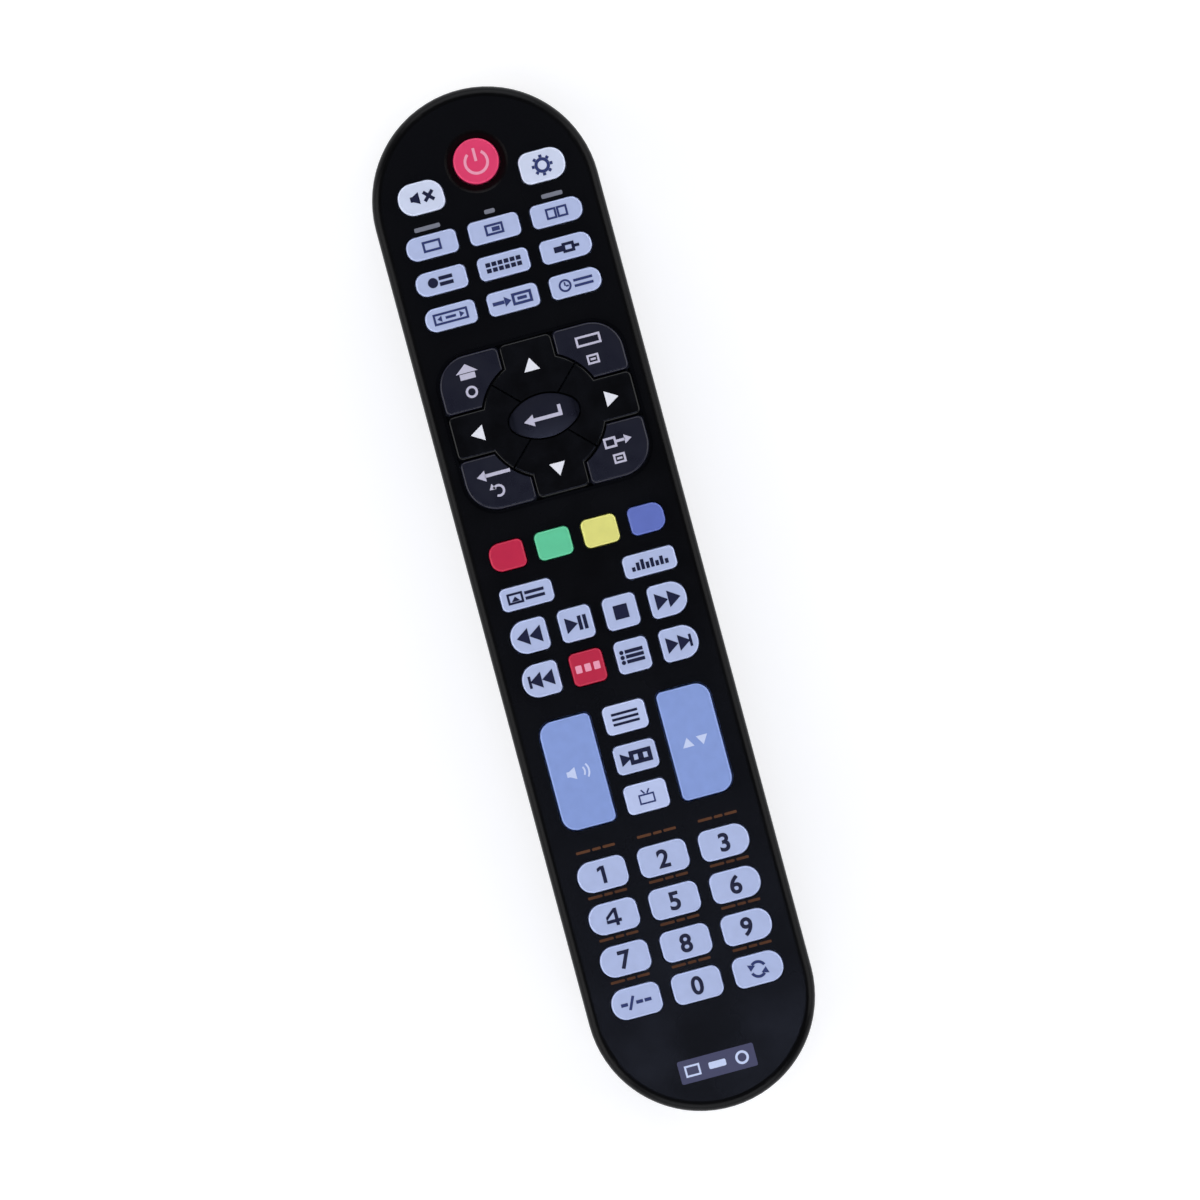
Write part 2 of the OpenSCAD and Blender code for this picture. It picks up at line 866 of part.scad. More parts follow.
// Height of what a post stands on
function post_root(y) =
    y > door_y ? wall :
    y > bay_y0 && y < bay_y1 ? roof_z + roof_t :
    floor_z;

// Posts with a pin each, which carry and locate the board
module board_posts() {
    for (at = posts)
        translate([at.x, at.y, 0]) {
            translate([0, 0, post_root(at.y) - root])
                cylinder(r = post_r, h = board_z - post_root(at.y) + root);
            translate([0, 0, board_z])
                cylinder(r = pin_r, h = board_t);
        }
}

// Door panel and its tongues, grown by gap and running out past the foot
module door_shape(gap) {
    door_l = door_y + gap - foot_y + over;
    translate([-door_w / 2 - gap, foot_y - over, -over])
        cube([door_w + 2 * gap, door_l, door_t + gap + over]);
    translate([-door_w / 2 - tongue_w - gap, foot_y - over, door_t - tongue_t - gap])
        cube([door_w + 2 * tongue_w + 2 * gap, door_l, tongue_t + 2 * gap]);
}

// Battery door, which slides off past the foot
module battery_door() {
    color(black)
        difference() {
            intersection() {
                case_solid_down(0, back_edge_r, 0, seam_z);
                door_shape(0);
            }
            for (i = [0:grip_count - 1])
                translate([-grip_l / 2, door_y - grip_margin - i * grip_pitch, grip_depth - grip_r])
                    rotate([0, 90, 0])
                        cylinder(r = grip_r, h = grip_l);
        }
}

// Rubber mat with a dome round every contact pill
module keypad_mat() {
    color(dark_rubber)
        difference() {
            union() {
                translate([0, 0, mat_z])
                    linear_extrude(mat_t)
                        case_outline(wall + mat_gap);
                for (at = pills)
                    translate([at.x, at.y, mat_z])
                        cylinder(r = dome_r, h = dome_top - mat_z);
            }
            for (at = pills)
                translate([at.x, at.y, mat_z - over])
                    cylinder(r = dome_bore_r, h = dome_top - mat_z + 2 * over);
        }
}

// Circuit board with its potted chip and a capacitor
module circuit_board() {
    chip_drop = chip_sphere_r - sqrt(chip_sphere_r * chip_sphere_r - chip_r * chip_r);
    color(board_green)
        translate([0, 0, board_z]) {
            difference() {
                linear_extrude(board_t)
                    case_outline(wall + board_gap);
                for (at = posts)
                    translate([at.x, at.y, -over])
                        cylinder(r = pin_r + pin_gap, h = board_t + 2 * over);
            }
            intersection() {
                translate([0, nav_cy, chip_sphere_r - chip_drop])
                    sphere(chip_sphere_r);
                translate([-chip_r, nav_cy - chip_r, -chip_drop - over])
                    cube([2 * chip_r, 2 * chip_r, chip_drop + over]);
            }
            translate([end_post_x, nav_cy, -capacitor_l])
                cylinder(r = capacitor_r, h = capacitor_l);
        }
}

// Infrared lamp with its two legs bent up to the board
module ir_led() {
    r = led_d / 2;
    back = led_tip_y - led_l;
    color(lamp_tint) {
        translate([0, back, led_z])
            rotate([-90, 0, 0])
                cylinder(r = r, h = led_l - r);
        translate([0, led_tip_y - r, led_z])
            intersection() {
                sphere(r);
                translate([-r - over, 0, -r - over])
                    cube(2 * (r + over));
            }
        translate([0, back, led_z])
            rotate([-90, 0, 0])
                cylinder(r = r + led_rim_w, h = led_rim_t);
        for (side = [-1, 1])
            translate([side * led_leg_x - led_leg_t / 2, back - led_leg_l, led_z]) {
                cube([led_leg_t, led_leg_l, led_leg_t]);
                cube([led_leg_t, led_leg_t, board_z - led_z]);
            }
    }
}

// One cell along +Y, from its flat end
module cell() {
    rotate([-90, 0, 0]) {
        cylinder(d = cell_d, h = cell_l - button_l);
        cylinder(d = button_d, h = cell_l);
    }
}

// Two cells side by side, head to tail
module battery_cells() {
    color(cell_shade) {
        translate([cell_x, bay_y0 + spring_l, cell_z])
            cell();
        translate([-cell_x, bay_y1 - spring_l, cell_z])
            mirror([0, 1, 0])
                cell();
    }
}

// Spring wire: a cone-shaped helix along +Y
wire_turns = 4;
wire_steps = 8;
wire_sides = 6;
wire_count = wire_turns * wire_steps;
spring_free = spring_l - plate_t - 3 * contact_gap - wire_d;
wire = [
    for (i = [0:wire_count])
    let (t = i / wire_count, r = spring_r + (spring_tip_r - spring_r) * t, a = 360 * wire_turns * t)
    [r * cos(a), spring_free * t, r * sin(a)]
];

// Least gap between one turn of the wire and the next
wire_gap = min([
    for (i = [0:wire_count - wire_steps / 2], j = [i + wire_steps / 2:wire_count])
    norm(wire[i] - wire[j]) - wire_d
]);
echo(spring_wire_gap = wire_gap);

function unit(v) = v / norm(v);

// Points of the wire's surface, ring by ring
wire_points = [
    for (i = [0:wire_count])
    let (
        along = unit(wire[min(i + 1, wire_count)] - wire[max(i - 1, 0)]),
        out = unit(cross(along, [0, 1, 0])),
        up = cross(out, along)
    )
    for (s = [0:wire_sides - 1])
    let (a = 360 * s / wire_sides)
    wire[i] + wire_d / 2 * (cos(a) * out + sin(a) * up)
];
wire_last = wire_count * wire_sides;
wire_faces = concat(
    [
        for (i = [0:wire_count - 1], s = [0:wire_sides - 1], half = [0, 1])
        let (p = i * wire_sides, q = p + wire_sides, next = (s + 1) % wire_sides)
        half == 0 ? [p + s, q + next, q + s] : [p + s, p + next, q + next]
    ],
    [for (s = [1:wire_sides - 2]) [0, s + 1, s]],
    [for (s = [1:wire_sides - 2]) [wire_last, wire_last + s, wire_last + s + 1]]
);

// Contact spring on its plate, along +Y from the wall of the bay
module contact_spring() {
    translate([0, plate_t + 2 * contact_gap + wire_d / 2, 0])
        polyhedron(wire_points, wire_faces);
}

// Contact plate from x0 to x1 on the wall of the bay
module contact_plate(x0, x1) {
    translate([x0, contact_gap, -plate_h / 2])
        cube([x1 - x0, plate_t, plate_h]);
}

// Boss on a plate, which meets a cell's button
module contact_boss() {
    translate([0, plate_t, 0])
        rotate([-90, 0, 0])
            cylinder(d = button_d, h = button_room - plate_t - contact_gap);
}

// Plates and springs at both ends of the bay
module battery_contacts() {
    half = plate_w / 2;
    color(nickel) {
        translate([0, bay_y0, cell_z]) {
            contact_plate(-cell_x - half, cell_x + half);
            translate([-cell_x, 0, 0])
                contact_boss();
            translate([cell_x, 0, 0])
                contact_spring();
        }
        translate([0, bay_y1, cell_z])
            mirror([0, 1, 0]) {
                contact_plate(cell_x - half, cell_x + half);
                translate([cell_x, 0, 0])
                    contact_boss();
                contact_plate(-cell_x - half, -cell_x + half);
                translate([-cell_x, 0, 0])
                    contact_spring();
            }
    }
}

// Round power key
module power_key() {
    r = power_d / 2;
    color(power_red)
        translate([0, power_y, 0])
            over_dome([0, 0], pill_z) {
                edge_turn(360, r, cap_edge_r, flange_z, cap_top);
                translate([0, 0, flange_z])
                    cylinder(r = r + flange_w, h = flange_t);
            }
}

// Key with straight sides, kept under the face by its rim
module slab_key(k) {
    color(k[4])
        translate(k[1])
            over_dome([0, 0], pill_z) {
                key_cap(k[2], k[3], flange_z, cap_top);
                translate([0, 0, flange_z])
                    linear_extrude(flange_t)
                        key_outline(k[2], k[3], flange_w);
            }
}

// Long key that swings on a rib across its middle
module rocker(k) {
    size = [rocker_w, rocker_h];
    radii = rocker_corners(k[1]);
    color(rocker_blue)
        translate([k[1] * rocker_x, rocker_y, 0]) {
            over_dome([0, rocker_pill_y], rocker_pill_z)
                over_dome([0, -rocker_pill_y], rocker_pill_z) {
                    key_cap(size, radii, rocker_flange_z, cap_top);
                    translate([0, 0, rocker_flange_z])
                        linear_extrude(rocker_flange_t)
                            key_outline(size, radii, flange_w);
                }
            translate([-rib_l / 2, 0, rocker_axis_z])
                rotate([0, 90, 0])
                    cylinder(r = rib_r, h = rib_l);
        }
}

// Corner key of the navigation cluster, cut round by the direction keys' ring
module corner_key(k) {
    at = corner_key_at(k);
    size = corner_key_size;
    rim = size + [flange_w, flange_w];
    radii = [nav_corner_r, key_corner_r, key_corner_r, key_corner_r];
    pill = corner_pill_at(k);
    color(nav_grey)
        translate([0, nav_cy, 0])
            over_dome(pill, pill_z)
                difference() {
                    mirror([k[1].x < 0 ? 1 : 0, 0, 0])
                        mirror([0, k[1].y < 0 ? 1 : 0, 0])
                            translate([abs(at.x), abs(at.y), 0]) {
                                key_cap(size, radii, flange_z, cap_top);
                                translate([flange_w / 2, flange_w / 2, flange_z])
                                    linear_extrude(flange_t)
                                        key_outline(rim, radii);
                            }
                    translate([0, 0, flange_z - over])
                        cylinder(r = nav_ring_r + nav_gap, h = cap_top);
                }
}

// Direction key: a quarter of the ring with an arm, cut out round the enter key
module direction_key(k) {
    reach = k[3];
    arm = [reach, 2 * k[2]];
    split = nav_gap * sqrt(2) / 2;
    color(black)
        translate([0, nav_cy, 0])
            over_dome(direction_pill_at(k), pill_z) {
                difference() {
                    rotate(k[1])
                        intersection() {
                            union() {
                                edge_turn(360, nav_ring_r, cap_edge_r, flange_z, cap_top);
                                translate([reach / 2, 0, 0])
                                    key_cap(arm, key_corner_r * [1, 1, 1, 1], flange_z, cap_top);
                            }
                            translate([0, 0, flange_z - over])
                                linear_extrude(cap_top)
                                    polygon([[split, 0], [far, far - split], [far, split - far]]);
                        }
                    translate([0, 0, flange_z - over])
                        linear_extrude(cap_top)
                            oval(enter_x + nav_gap, enter_y + nav_gap, enter_end_r + nav_gap);
                }
                rotate(k[1])
                    translate([reach - recess_r, -k[2] + key_corner_r, flange_z])
                        cube([recess_r + flange_w, 2 * (k[2] - key_corner_r), flange_t]);
            }
}

// Oval enter key with a crowned top
module enter_key() {
    color(nav_grey)
        translate([0, nav_cy, 0])
            over_dome([0, 0], pill_z)
                intersection() {
                    translate([0, 0, flange_z])
                        linear_extrude(key_stand + cap_top - flange_z)
                            oval(enter_x, enter_y, enter_end_r);
                    translate([0, 0, cap_top - enter_crown_r])
                        sphere(enter_crown_r, $fn = crown_fn);
                }
}

top_cover();
rear_cover();
battery_door();
keypad_mat();
circuit_board();
ir_led();
battery_cells();
battery_contacts();
power_key();
enter_key();
for (k = slab_keys)
    slab_key(k);
for (k = corner_keys)
    corner_key(k);
for (k = direction_keys)
    direction_key(k);
for (k = rockers)
    rocker(k);
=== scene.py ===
"""Looks of a universal remote control: finishes for its solids, printed marks and a studio."""

import json
import math

import bmesh
import bpy
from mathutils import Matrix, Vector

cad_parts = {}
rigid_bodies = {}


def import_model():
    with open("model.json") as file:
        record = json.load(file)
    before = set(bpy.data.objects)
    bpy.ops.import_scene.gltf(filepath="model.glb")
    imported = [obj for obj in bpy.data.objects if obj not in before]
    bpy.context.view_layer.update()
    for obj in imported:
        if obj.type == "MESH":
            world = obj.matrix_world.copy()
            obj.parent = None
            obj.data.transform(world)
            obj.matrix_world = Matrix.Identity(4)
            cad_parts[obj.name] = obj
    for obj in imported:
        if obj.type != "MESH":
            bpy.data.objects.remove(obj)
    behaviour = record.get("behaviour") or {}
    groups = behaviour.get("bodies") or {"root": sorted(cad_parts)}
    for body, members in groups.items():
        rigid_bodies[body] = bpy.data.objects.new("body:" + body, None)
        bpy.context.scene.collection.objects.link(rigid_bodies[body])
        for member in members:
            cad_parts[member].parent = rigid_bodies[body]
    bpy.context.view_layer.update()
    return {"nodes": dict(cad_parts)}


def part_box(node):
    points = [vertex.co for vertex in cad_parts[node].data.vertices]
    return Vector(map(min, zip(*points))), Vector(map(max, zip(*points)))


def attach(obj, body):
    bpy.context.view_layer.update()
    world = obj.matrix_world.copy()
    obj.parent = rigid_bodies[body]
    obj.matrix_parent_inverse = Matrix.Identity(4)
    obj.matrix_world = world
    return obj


bl_info = {
    "name": "Universal Remote Control",
    "version": (1, 0, 0),
    "blender": (4, 5, 0),
    "location": "View3D > Sidebar > Remote",
    "description": "Finishes, printed marks and studio of a remote control",
    "category": "Object",
}

MM = 0.001

# The startup file's own objects go before the frame comes in
bpy.ops.object.select_all(action="SELECT")
bpy.ops.object.delete()
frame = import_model()


def linear(hex_colour):
    """Linear RGBA of an sRGB hex colour."""
    channels = [int(hex_colour[i:i + 2], 16) / 255 for i in (1, 3, 5)]
    return tuple(
        c / 12.92 if c <= 0.04045 else ((c + 0.055) / 1.055) ** 2.4 for c in channels
    ) + (1.0,)


def middle(node):
    """Middle of a node's top, in metres."""
    low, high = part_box(node)
    return (low.x + high.x) / 2, (low.y + high.y) / 2, high.z


# Groups of keys that share a finish or a kind of mark
PALE_KEYS = (
    [f"function_key_{i}" for i in range(1, 10)]
    + ["picture_mode_key", "sound_mode_key", "video_key"]
    + ["rewind_key", "play_key", "stop_key", "forward_key"]
    + ["previous_key", "list_key", "next_key"]
)
HEAD_KEYS = ["mute_key", "set_key"]
MIDDLE_KEYS = ["menu_key", "source_key"]
NUMBER_KEYS = [f"number_key_{i}" for i in range(10)]
ENTRY_KEYS = ["digits_key", "recall_key"]
ROCKERS = ["volume_rocker", "channel_rocker"]
CORNER_KEYS = ["home_key", "display_key", "return_key", "exit_key"]
ARROW_KEYS = ["right_key", "up_key", "left_key", "down_key"]
FIRST_NUMBER_ROW = ["number_key_1", "number_key_2", "number_key_3"]
CASE_NODES = ["top_cover", "rear_cover", "battery_door"]


def colour_prop(name, description, default):
    """A colour that a user may change, given in sRGB hex."""
    return bpy.props.FloatVectorProperty(
        name=name, description=description, subtype="COLOR", size=4, min=0, max=1,
        default=linear(default),
    )


def length_prop(name, description, default_mm):
    """A length that a user may change, given in millimetres."""
    return bpy.props.FloatProperty(
        name=name, description=description, subtype="DISTANCE", unit="LENGTH",
        min=0, default=default_mm * MM, precision=5,
    )


class RemoteFinishes(bpy.types.PropertyGroup):
    """Colours of the remote control's pieces"""

    case: colour_prop("Case", "Black of both case halves and the battery door", "#080809")
    pale: colour_prop("Pale keys", "Lavender grey of most keys", "#b3bedf")
    head: colour_prop("Head keys", "Near white of the two keys beside the power key", "#d2d9ec")
    middle: colour_prop("Middle keys", "Lighter lavender between the rockers", "#bdc8e9")
    number: colour_prop("Number keys", "Lavender grey of the number pad", "#b1bde0")
    rocker: colour_prop("Rockers", "Blue of the two rockers", "#889ed6")
    power: colour_prop("Power key", "Red of the power key", "#e23a68")
    app: colour_prop("App key", "Red of the app key", "#bc1d3e")
    red: colour_prop("Red key", "First colour key", "#c01c41")
    green: colour_prop("Green key", "Second colour key", "#60ca98")
    yellow: colour_prop("Yellow key", "Third colour key", "#e4e07c")
    blue: colour_prop("Blue key", "Fourth colour key", "#6070ba")
    corner: colour_prop("Navigation corners", "Dark grey of the corner keys", "#11111d")
    cross: colour_prop("Navigation cross", "Black of the direction keys", "#060607")


class RemotePrint(bpy.types.PropertyGroup):
    """Inks and sizes of the printed marks"""

    dark_ink: colour_prop("Dark ink", "Navy ink on pale keys", "#161a38")
    blue_ink: colour_prop("Blue ink", "Thinner navy ink of the function keys", "#333c6c")
    pale_ink: colour_prop("Pale ink", "Grey ink on the navigation keys", "#c2bfd0")
    white_ink: colour_prop("White ink", "White ink of the arrows", "#ebebf0")
    face_ink: colour_prop("Face ink", "Grey ink on the key face", "#83858f")
    strip_ink: colour_prop("Strip ink", "Slate ink of the strip at the foot", "#4a4b66")
    orange_ink: colour_prop("Orange ink", "Ink of the small marks over the numbers", "#5e3a22")
    rocker_ink: colour_prop("Rocker ink", "Pale ink on the rockers", "#cdd8f5")
    power_ink: colour_prop("Power ink", "Pink ink on the power key", "#f2a0b6")
    proud: length_prop("Ink height", "How far a mark stands out of its key", 0.03)
    depth: length_prop("Ink depth", "How far a mark is let into its key", 0.1)
    numeral: length_prop("Numeral size", "Type size of the number pad", 5.1)
    weight: length_prop("Numeral weight", "How much the numerals' strokes are thickened", 0.14)


class RemoteStudio(bpy.types.PropertyGroup):
    """Camera and light"""

    lens: bpy.props.FloatProperty(
        name="Lens", description="Focal length of the camera", subtype="DISTANCE_CAMERA",
        min=20, default=200,
    )
    field: length_prop("Field", "Width that the picture takes in at the case's shoulder", 245)
    roll: bpy.props.FloatProperty(
        name="Roll", description="Turn of the remote control in the picture",
        subtype="ANGLE", unit="ROTATION", default=math.radians(15.03),
    )
    light: bpy.props.FloatProperty(
        name="Light", description="Brightness of all lamps together", min=0, default=1.1,
    )


def add_node(tree, kind, sockets, **settings):
    """Adds a node, with its settings, and sets or links its sockets."""
    node = tree.nodes.new(kind)
    for name, value in settings.items():
        setattr(node, name, value)
    for name, value in sockets.items():
        if isinstance(value, bpy.types.NodeSocket):
            tree.links.new(value, node.inputs[name])
        else:
            node.inputs[name].default_value = value
    return node


def start_material(name):
    """An empty material, with its tree, its surface shader and its coordinates in metres."""
    material = bpy.data.materials.new(name)
    material.use_nodes = True
    tree = material.node_tree
    tree.nodes.clear()
    shader = add_node(tree, "ShaderNodeBsdfPrincipled", {})
    add_node(tree, "ShaderNodeOutputMaterial", {"Surface": shader.outputs["BSDF"]})
    coords = add_node(tree, "ShaderNodeTexCoord", {}).outputs["Object"]
    return material, tree, shader, coords


def per_mm(size_mm):
    """Scale of a pattern on metre coordinates whose features are this size."""
    return 1 / (size_mm * MM)


def shade(colour, factor):
    """A colour made darker or lighter."""
    return tuple(min(1, c * factor) for c in colour[:3]) + (1.0,)


def mottled(tree, coords, size_mm, low, high):
    """Colour that drifts between two shades over patches of the given size."""
    # A Mix node has sockets of the same name for each type, so they are told by number
    noise = add_node(
        tree, "ShaderNodeTexNoise", {"Vector": coords, "Scale": per_mm(size_mm), "Detail": 3}
    )
    mix = add_node(
        tree, "ShaderNodeMix", {0: noise.outputs["Fac"], 6: low, 7: high}, data_type="RGBA"
    )
    return mix.outputs[2]


def uneven(tree, coords, size_mm, low, high):
    """Value that drifts between two limits over patches of the given size."""
    noise = add_node(
        tree, "ShaderNodeTexNoise", {"Vector": coords, "Scale": per_mm(size_mm), "Detail": 4}
    )
    spread = add_node(
        tree, "ShaderNodeMapRange",
        {
            "Value": noise.outputs["Fac"], "From Min": 0.3, "From Max": 0.7,
            "To Min": low, "To Max": high,
        },
    )
    return spread.outputs["Result"]


def grained(tree, coords, size_mm, height_mm, strength):
    """Normal of a fine moulded grain."""
    noise = add_node(
        tree, "ShaderNodeTexNoise", {"Vector": coords, "Scale": per_mm(size_mm), "Detail": 2}
    )
    bump = add_node(
        tree, "ShaderNodeBump",
        {"Height": noise.outputs["Fac"], "Strength": strength, "Distance": height_mm * MM},
    )
    return bump.outputs["Normal"]


def painted_edge_highlight(tree, colour, highlight_colour):
    """Painted highlight: colour that turns to a lighter one on the roundings between a top and its
    sides.
    """
    normal = add_node(tree, "ShaderNodeTexCoord", {}).outputs["Normal"]
    rise = add_node(tree, "ShaderNodeSeparateXYZ", {"Vector": normal}).outputs["Z"]
    fall = add_node(tree, "ShaderNodeMath", {0: 1, 1: rise}, operation="SUBTRACT").outputs[0]
    slant = add_node(tree, "ShaderNodeMath", {0: rise, 1: fall}, operation="MULTIPLY").outputs[0]
    share = add_node(
        tree, "ShaderNodeMapRange", {"Value": slant, "From Min": 0.02, "From Max": 0.2}
    )
    mix = add_node(
        tree, "ShaderNodeMix", {0: share.outputs["Result"], 6: colour, 7: highlight_colour}, data_type="RGBA"
    )
    return mix.outputs[2]


def moulded_abs(name, colour):
    """Black ABS, moulded in a spark-eroded tool."""
    # A satin skin of fine pits, patches that hands have polished, and a painted highlight that
    # makes the edges greyer
    material, tree, shader, coords = start_material(name)
    skin = mottled(tree, coords, 9, shade(colour, 0.8), shade(colour, 1.25))
    tree.links.new(painted_edge_highlight(tree, skin, shade(colour, 1.7)), shader.inputs["Base Color"])
    tree.links.new(uneven(tree, coords, 14, 0.2, 0.32), shader.inputs["Roughness"])
    tree.links.new(grained(tree, coords, 0.45, 0.03, 0.3), shader.inputs["Normal"])
    shader.inputs["IOR"].default_value = 1.53
    # The pits trap most of the gloss
    shader.inputs["Specular IOR Level"].default_value = 0.08
    return material


def silicone_rubber(name, colour):
    """Pigmented silicone rubber, pressed in a matt tool."""
    # Soft and even, with a faint bloom in patches, a painted highlight that makes the edges paler,
    # and a dusty, nearly matt skin
    material, tree, shader, coords = start_material(name)
    bloom = mottled(tree, coords, 2.2, shade(colour, 0.92), shade(colour, 1.08))
    tree.links.new(painted_edge_highlight(tree, bloom, shade(colour, 1.18)), shader.inputs["Base Color"])
    tree.links.new(uneven(tree, coords, 3, 0.4, 0.58), shader.inputs["Roughness"])
    tree.links.new(grained(tree, coords, 0.3, 0.02, 0.35), shader.inputs["Normal"])
    shader.inputs["IOR"].default_value = 1.41
    return material


def polished_abs(name, colour, roughness, gloss):
    """Black ABS from a polished tool, under a clear lacquer."""
    # Deep and smooth, broken by wipe marks a few millimetres wide, with a painted highlight that
    # turns the edges grey
    material, tree, shader, coords = start_material(name)
    skin = mottled(tree, coords, 6, shade(colour, 0.9), shade(colour, 1.1))
    tree.links.new(painted_edge_highlight(tree, skin, shade(colour, 2.2)), shader.inputs["Base Color"])
    tree.links.new(uneven(tree, coords, 4, roughness, roughness * 1.6), shader.inputs["Roughness"])
    tree.links.new(grained(tree, coords, 1.5, 0.004, 0.05), shader.inputs["Normal"])
    shader.inputs["IOR"].default_value = 1.53
    shader.inputs["Specular IOR Level"].default_value = gloss
    return material


def printing_ink(name, colour):
    """Pad-printed ink, a thin matt film."""
    # Slightly uneven cover, as the pad leaves it, and hardly any gloss
    material, tree, shader, coords = start_material(name)
    cover = mottled(tree, coords, 0.4, shade(colour, 0.9), shade(colour, 1.06))
    tree.links.new(cover, shader.inputs["Base Color"])
    tree.links.new(uneven(tree, coords, 0.8, 0.5, 0.62), shader.inputs["Roughness"])
    shader.inputs["Specular IOR Level"].default_value = 0.2
    return material


def sponge_rubber(name):
    """Dark silicone of the key mat."""
    # Matt and greyish, with dust in it
    material, tree, shader, coords = start_material(name)
    dust = mottled(tree, coords, 1.2, linear("#232327"), linear("#34343a"))
    tree.links.new(dust, shader.inputs["Base Color"])
    tree.links.new(uneven(tree, coords, 2, 0.6, 0.75), shader.inputs["Roughness"])
    return material


def solder_mask(name):
    """Glass-fibre board under green solder mask."""
    # Lighter green where copper runs under the mask, in straight tracks 1.6 mm apart
    material, tree, shader, coords = start_material(name)
    tracks = add_node(
        tree, "ShaderNodeTexBrick",
        {
            "Vector": coords, "Scale": per_mm(4), "Mortar Size": 0.08, "Mortar Smooth": 0.1,
            "Brick Width": 2.0, "Row Height": 0.4,
            "Color1": linear("#1f5a30"), "Color2": linear("#235f35"), "Mortar": linear("#3f8a4c"),
        },
    )
    tree.links.new(tracks.outputs["Color"], shader.inputs["Base Color"])
    tree.links.new(uneven(tree, coords, 5, 0.28, 0.4), shader.inputs["Roughness"])
    return material


def tinted_epoxy(name):
    """Clear epoxy of the infrared lamp, with a violet tint."""
    # Glassy, with the darker die cup showing through as a soft core
    material, tree, shader, coords = start_material(name)
    core = mottled(tree, coords, 1.6, linear("#4a3a55"), linear("#7a6a8c"))
    tree.links.new(core, shader.inputs["Base Color"])
    tree.links.new(uneven(tree, coords, 2, 0.05, 0.12), shader.inputs["Roughness"])
    shader.inputs["IOR"].default_value = 1.54
    shader.inputs["Transmission Weight"].default_value = 0.6
    return material


# Where the copper end of a cell starts, from the cell's middle
COPPER_START = 11 * MM


def foil_sleeve(name):
    """Shrunk foil sleeve of a dry cell, dark with a copper end."""
    # The two cells lie head to tail, so the copper end is told by the side they lie on
    material, tree, shader, coords = start_material(name)
    low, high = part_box("battery_cells")
    place = add_node(tree, "ShaderNodeSeparateXYZ", {"Vector": coords})
    along = add_node(
        tree, "ShaderNodeMath", {0: place.outputs["Y"], 1: (low.y + high.y) / 2},
        operation="SUBTRACT",
    )
    side = add_node(tree, "ShaderNodeMath", {0: place.outputs["X"]}, operation="SIGN")
    towards = add_node(
        tree, "ShaderNodeMath", {0: along.outputs[0], 1: side.outputs[0]}, operation="MULTIPLY"
    )
    band = add_node(
        tree, "ShaderNodeMath", {0: towards.outputs[0], 1: COPPER_START}, operation="GREATER_THAN"
    )
    tint = add_node(
        tree, "ShaderNodeMix",
        {0: band.outputs[0], 6: linear("#23262b"), 7: linear("#b0713a")}, data_type="RGBA",
    )
    tree.links.new(tint.outputs[2], shader.inputs["Base Color"])
    tree.links.new(uneven(tree, coords, 4, 0.22, 0.34), shader.inputs["Roughness"])
    shader.inputs["Metallic"].default_value = 0.75
    return material


def nickel_plate(name):
    """Spring steel under nickel plate."""
    # Bright and slightly yellow, dulled in patches where it was handled
    material, tree, shader, coords = start_material(name)
    plate = mottled(tree, coords, 1.5, linear("#b9b7ae"), linear("#d6d4cc"))
    tree.links.new(plate, shader.inputs["Base Color"])
    tree.links.new(uneven(tree, coords, 2, 0.2, 0.34), shader.inputs["Roughness"])
    shader.inputs["Metallic"].default_value = 1
    return material


def studio_paper(name):
    """Seamless white paper."""
    # Matt and even, with hardly a change of tone across the sheet
    material, tree, shader, coords = start_material(name)
    fibre = mottled(tree, coords, 60, linear("#c9c9c9"), linear("#cecece"))
    tree.links.new(fibre, shader.inputs["Base Color"])
    shader.inputs["Roughness"].default_value = 0.9
    shader.inputs["Specular IOR Level"].default_value = 0
    shader.inputs["Emission Color"].default_value = (1, 1, 1, 1)
    # The lamps fall off, so the paper glows more the further it lies from the middle
    away = add_node(tree, "ShaderNodeVectorMath", {0: coords}, operation="LENGTH").outputs["Value"]
    glow = add_node(
        tree, "ShaderNodeMapRange",
        {"Value": away, "From Min": 0.3, "From Max": 1.5, "To Min": 0.6, "To Max": 1.05},
    )
    tree.links.new(glow.outputs["Result"], shader.inputs["Emission Strength"])
    # From below the paper is clear, so that the back of the case can be looked at
    under = add_node(tree, "ShaderNodeNewGeometry", {}).outputs["Backfacing"]
    clear = add_node(tree, "ShaderNodeBsdfTransparent", {}).outputs["BSDF"]
    sheet = add_node(tree, "ShaderNodeMixShader", {0: under, 1: shader.outputs["BSDF"], 2: clear})
    tree.links.new(sheet.outputs["Shader"], tree.nodes["Material Output"].inputs["Surface"])
    return material


def dress(nodes, material):
    """Gives solids their finish."""
    for name in nodes:
        for slot in frame["nodes"][name].material_slots:
            slot.material = material


class REMOTE_OT_dress_case(bpy.types.Operator):
    """Give both case halves and the battery door their satin black finish"""

    bl_idname = "remote.dress_case"
    bl_label = "Case Finish"

    def execute(self, context):
        colours = context.scene.remote_finishes
        dress(CASE_NODES, moulded_abs("satin_black_abs", colours.case))
        return {"FINISHED"}


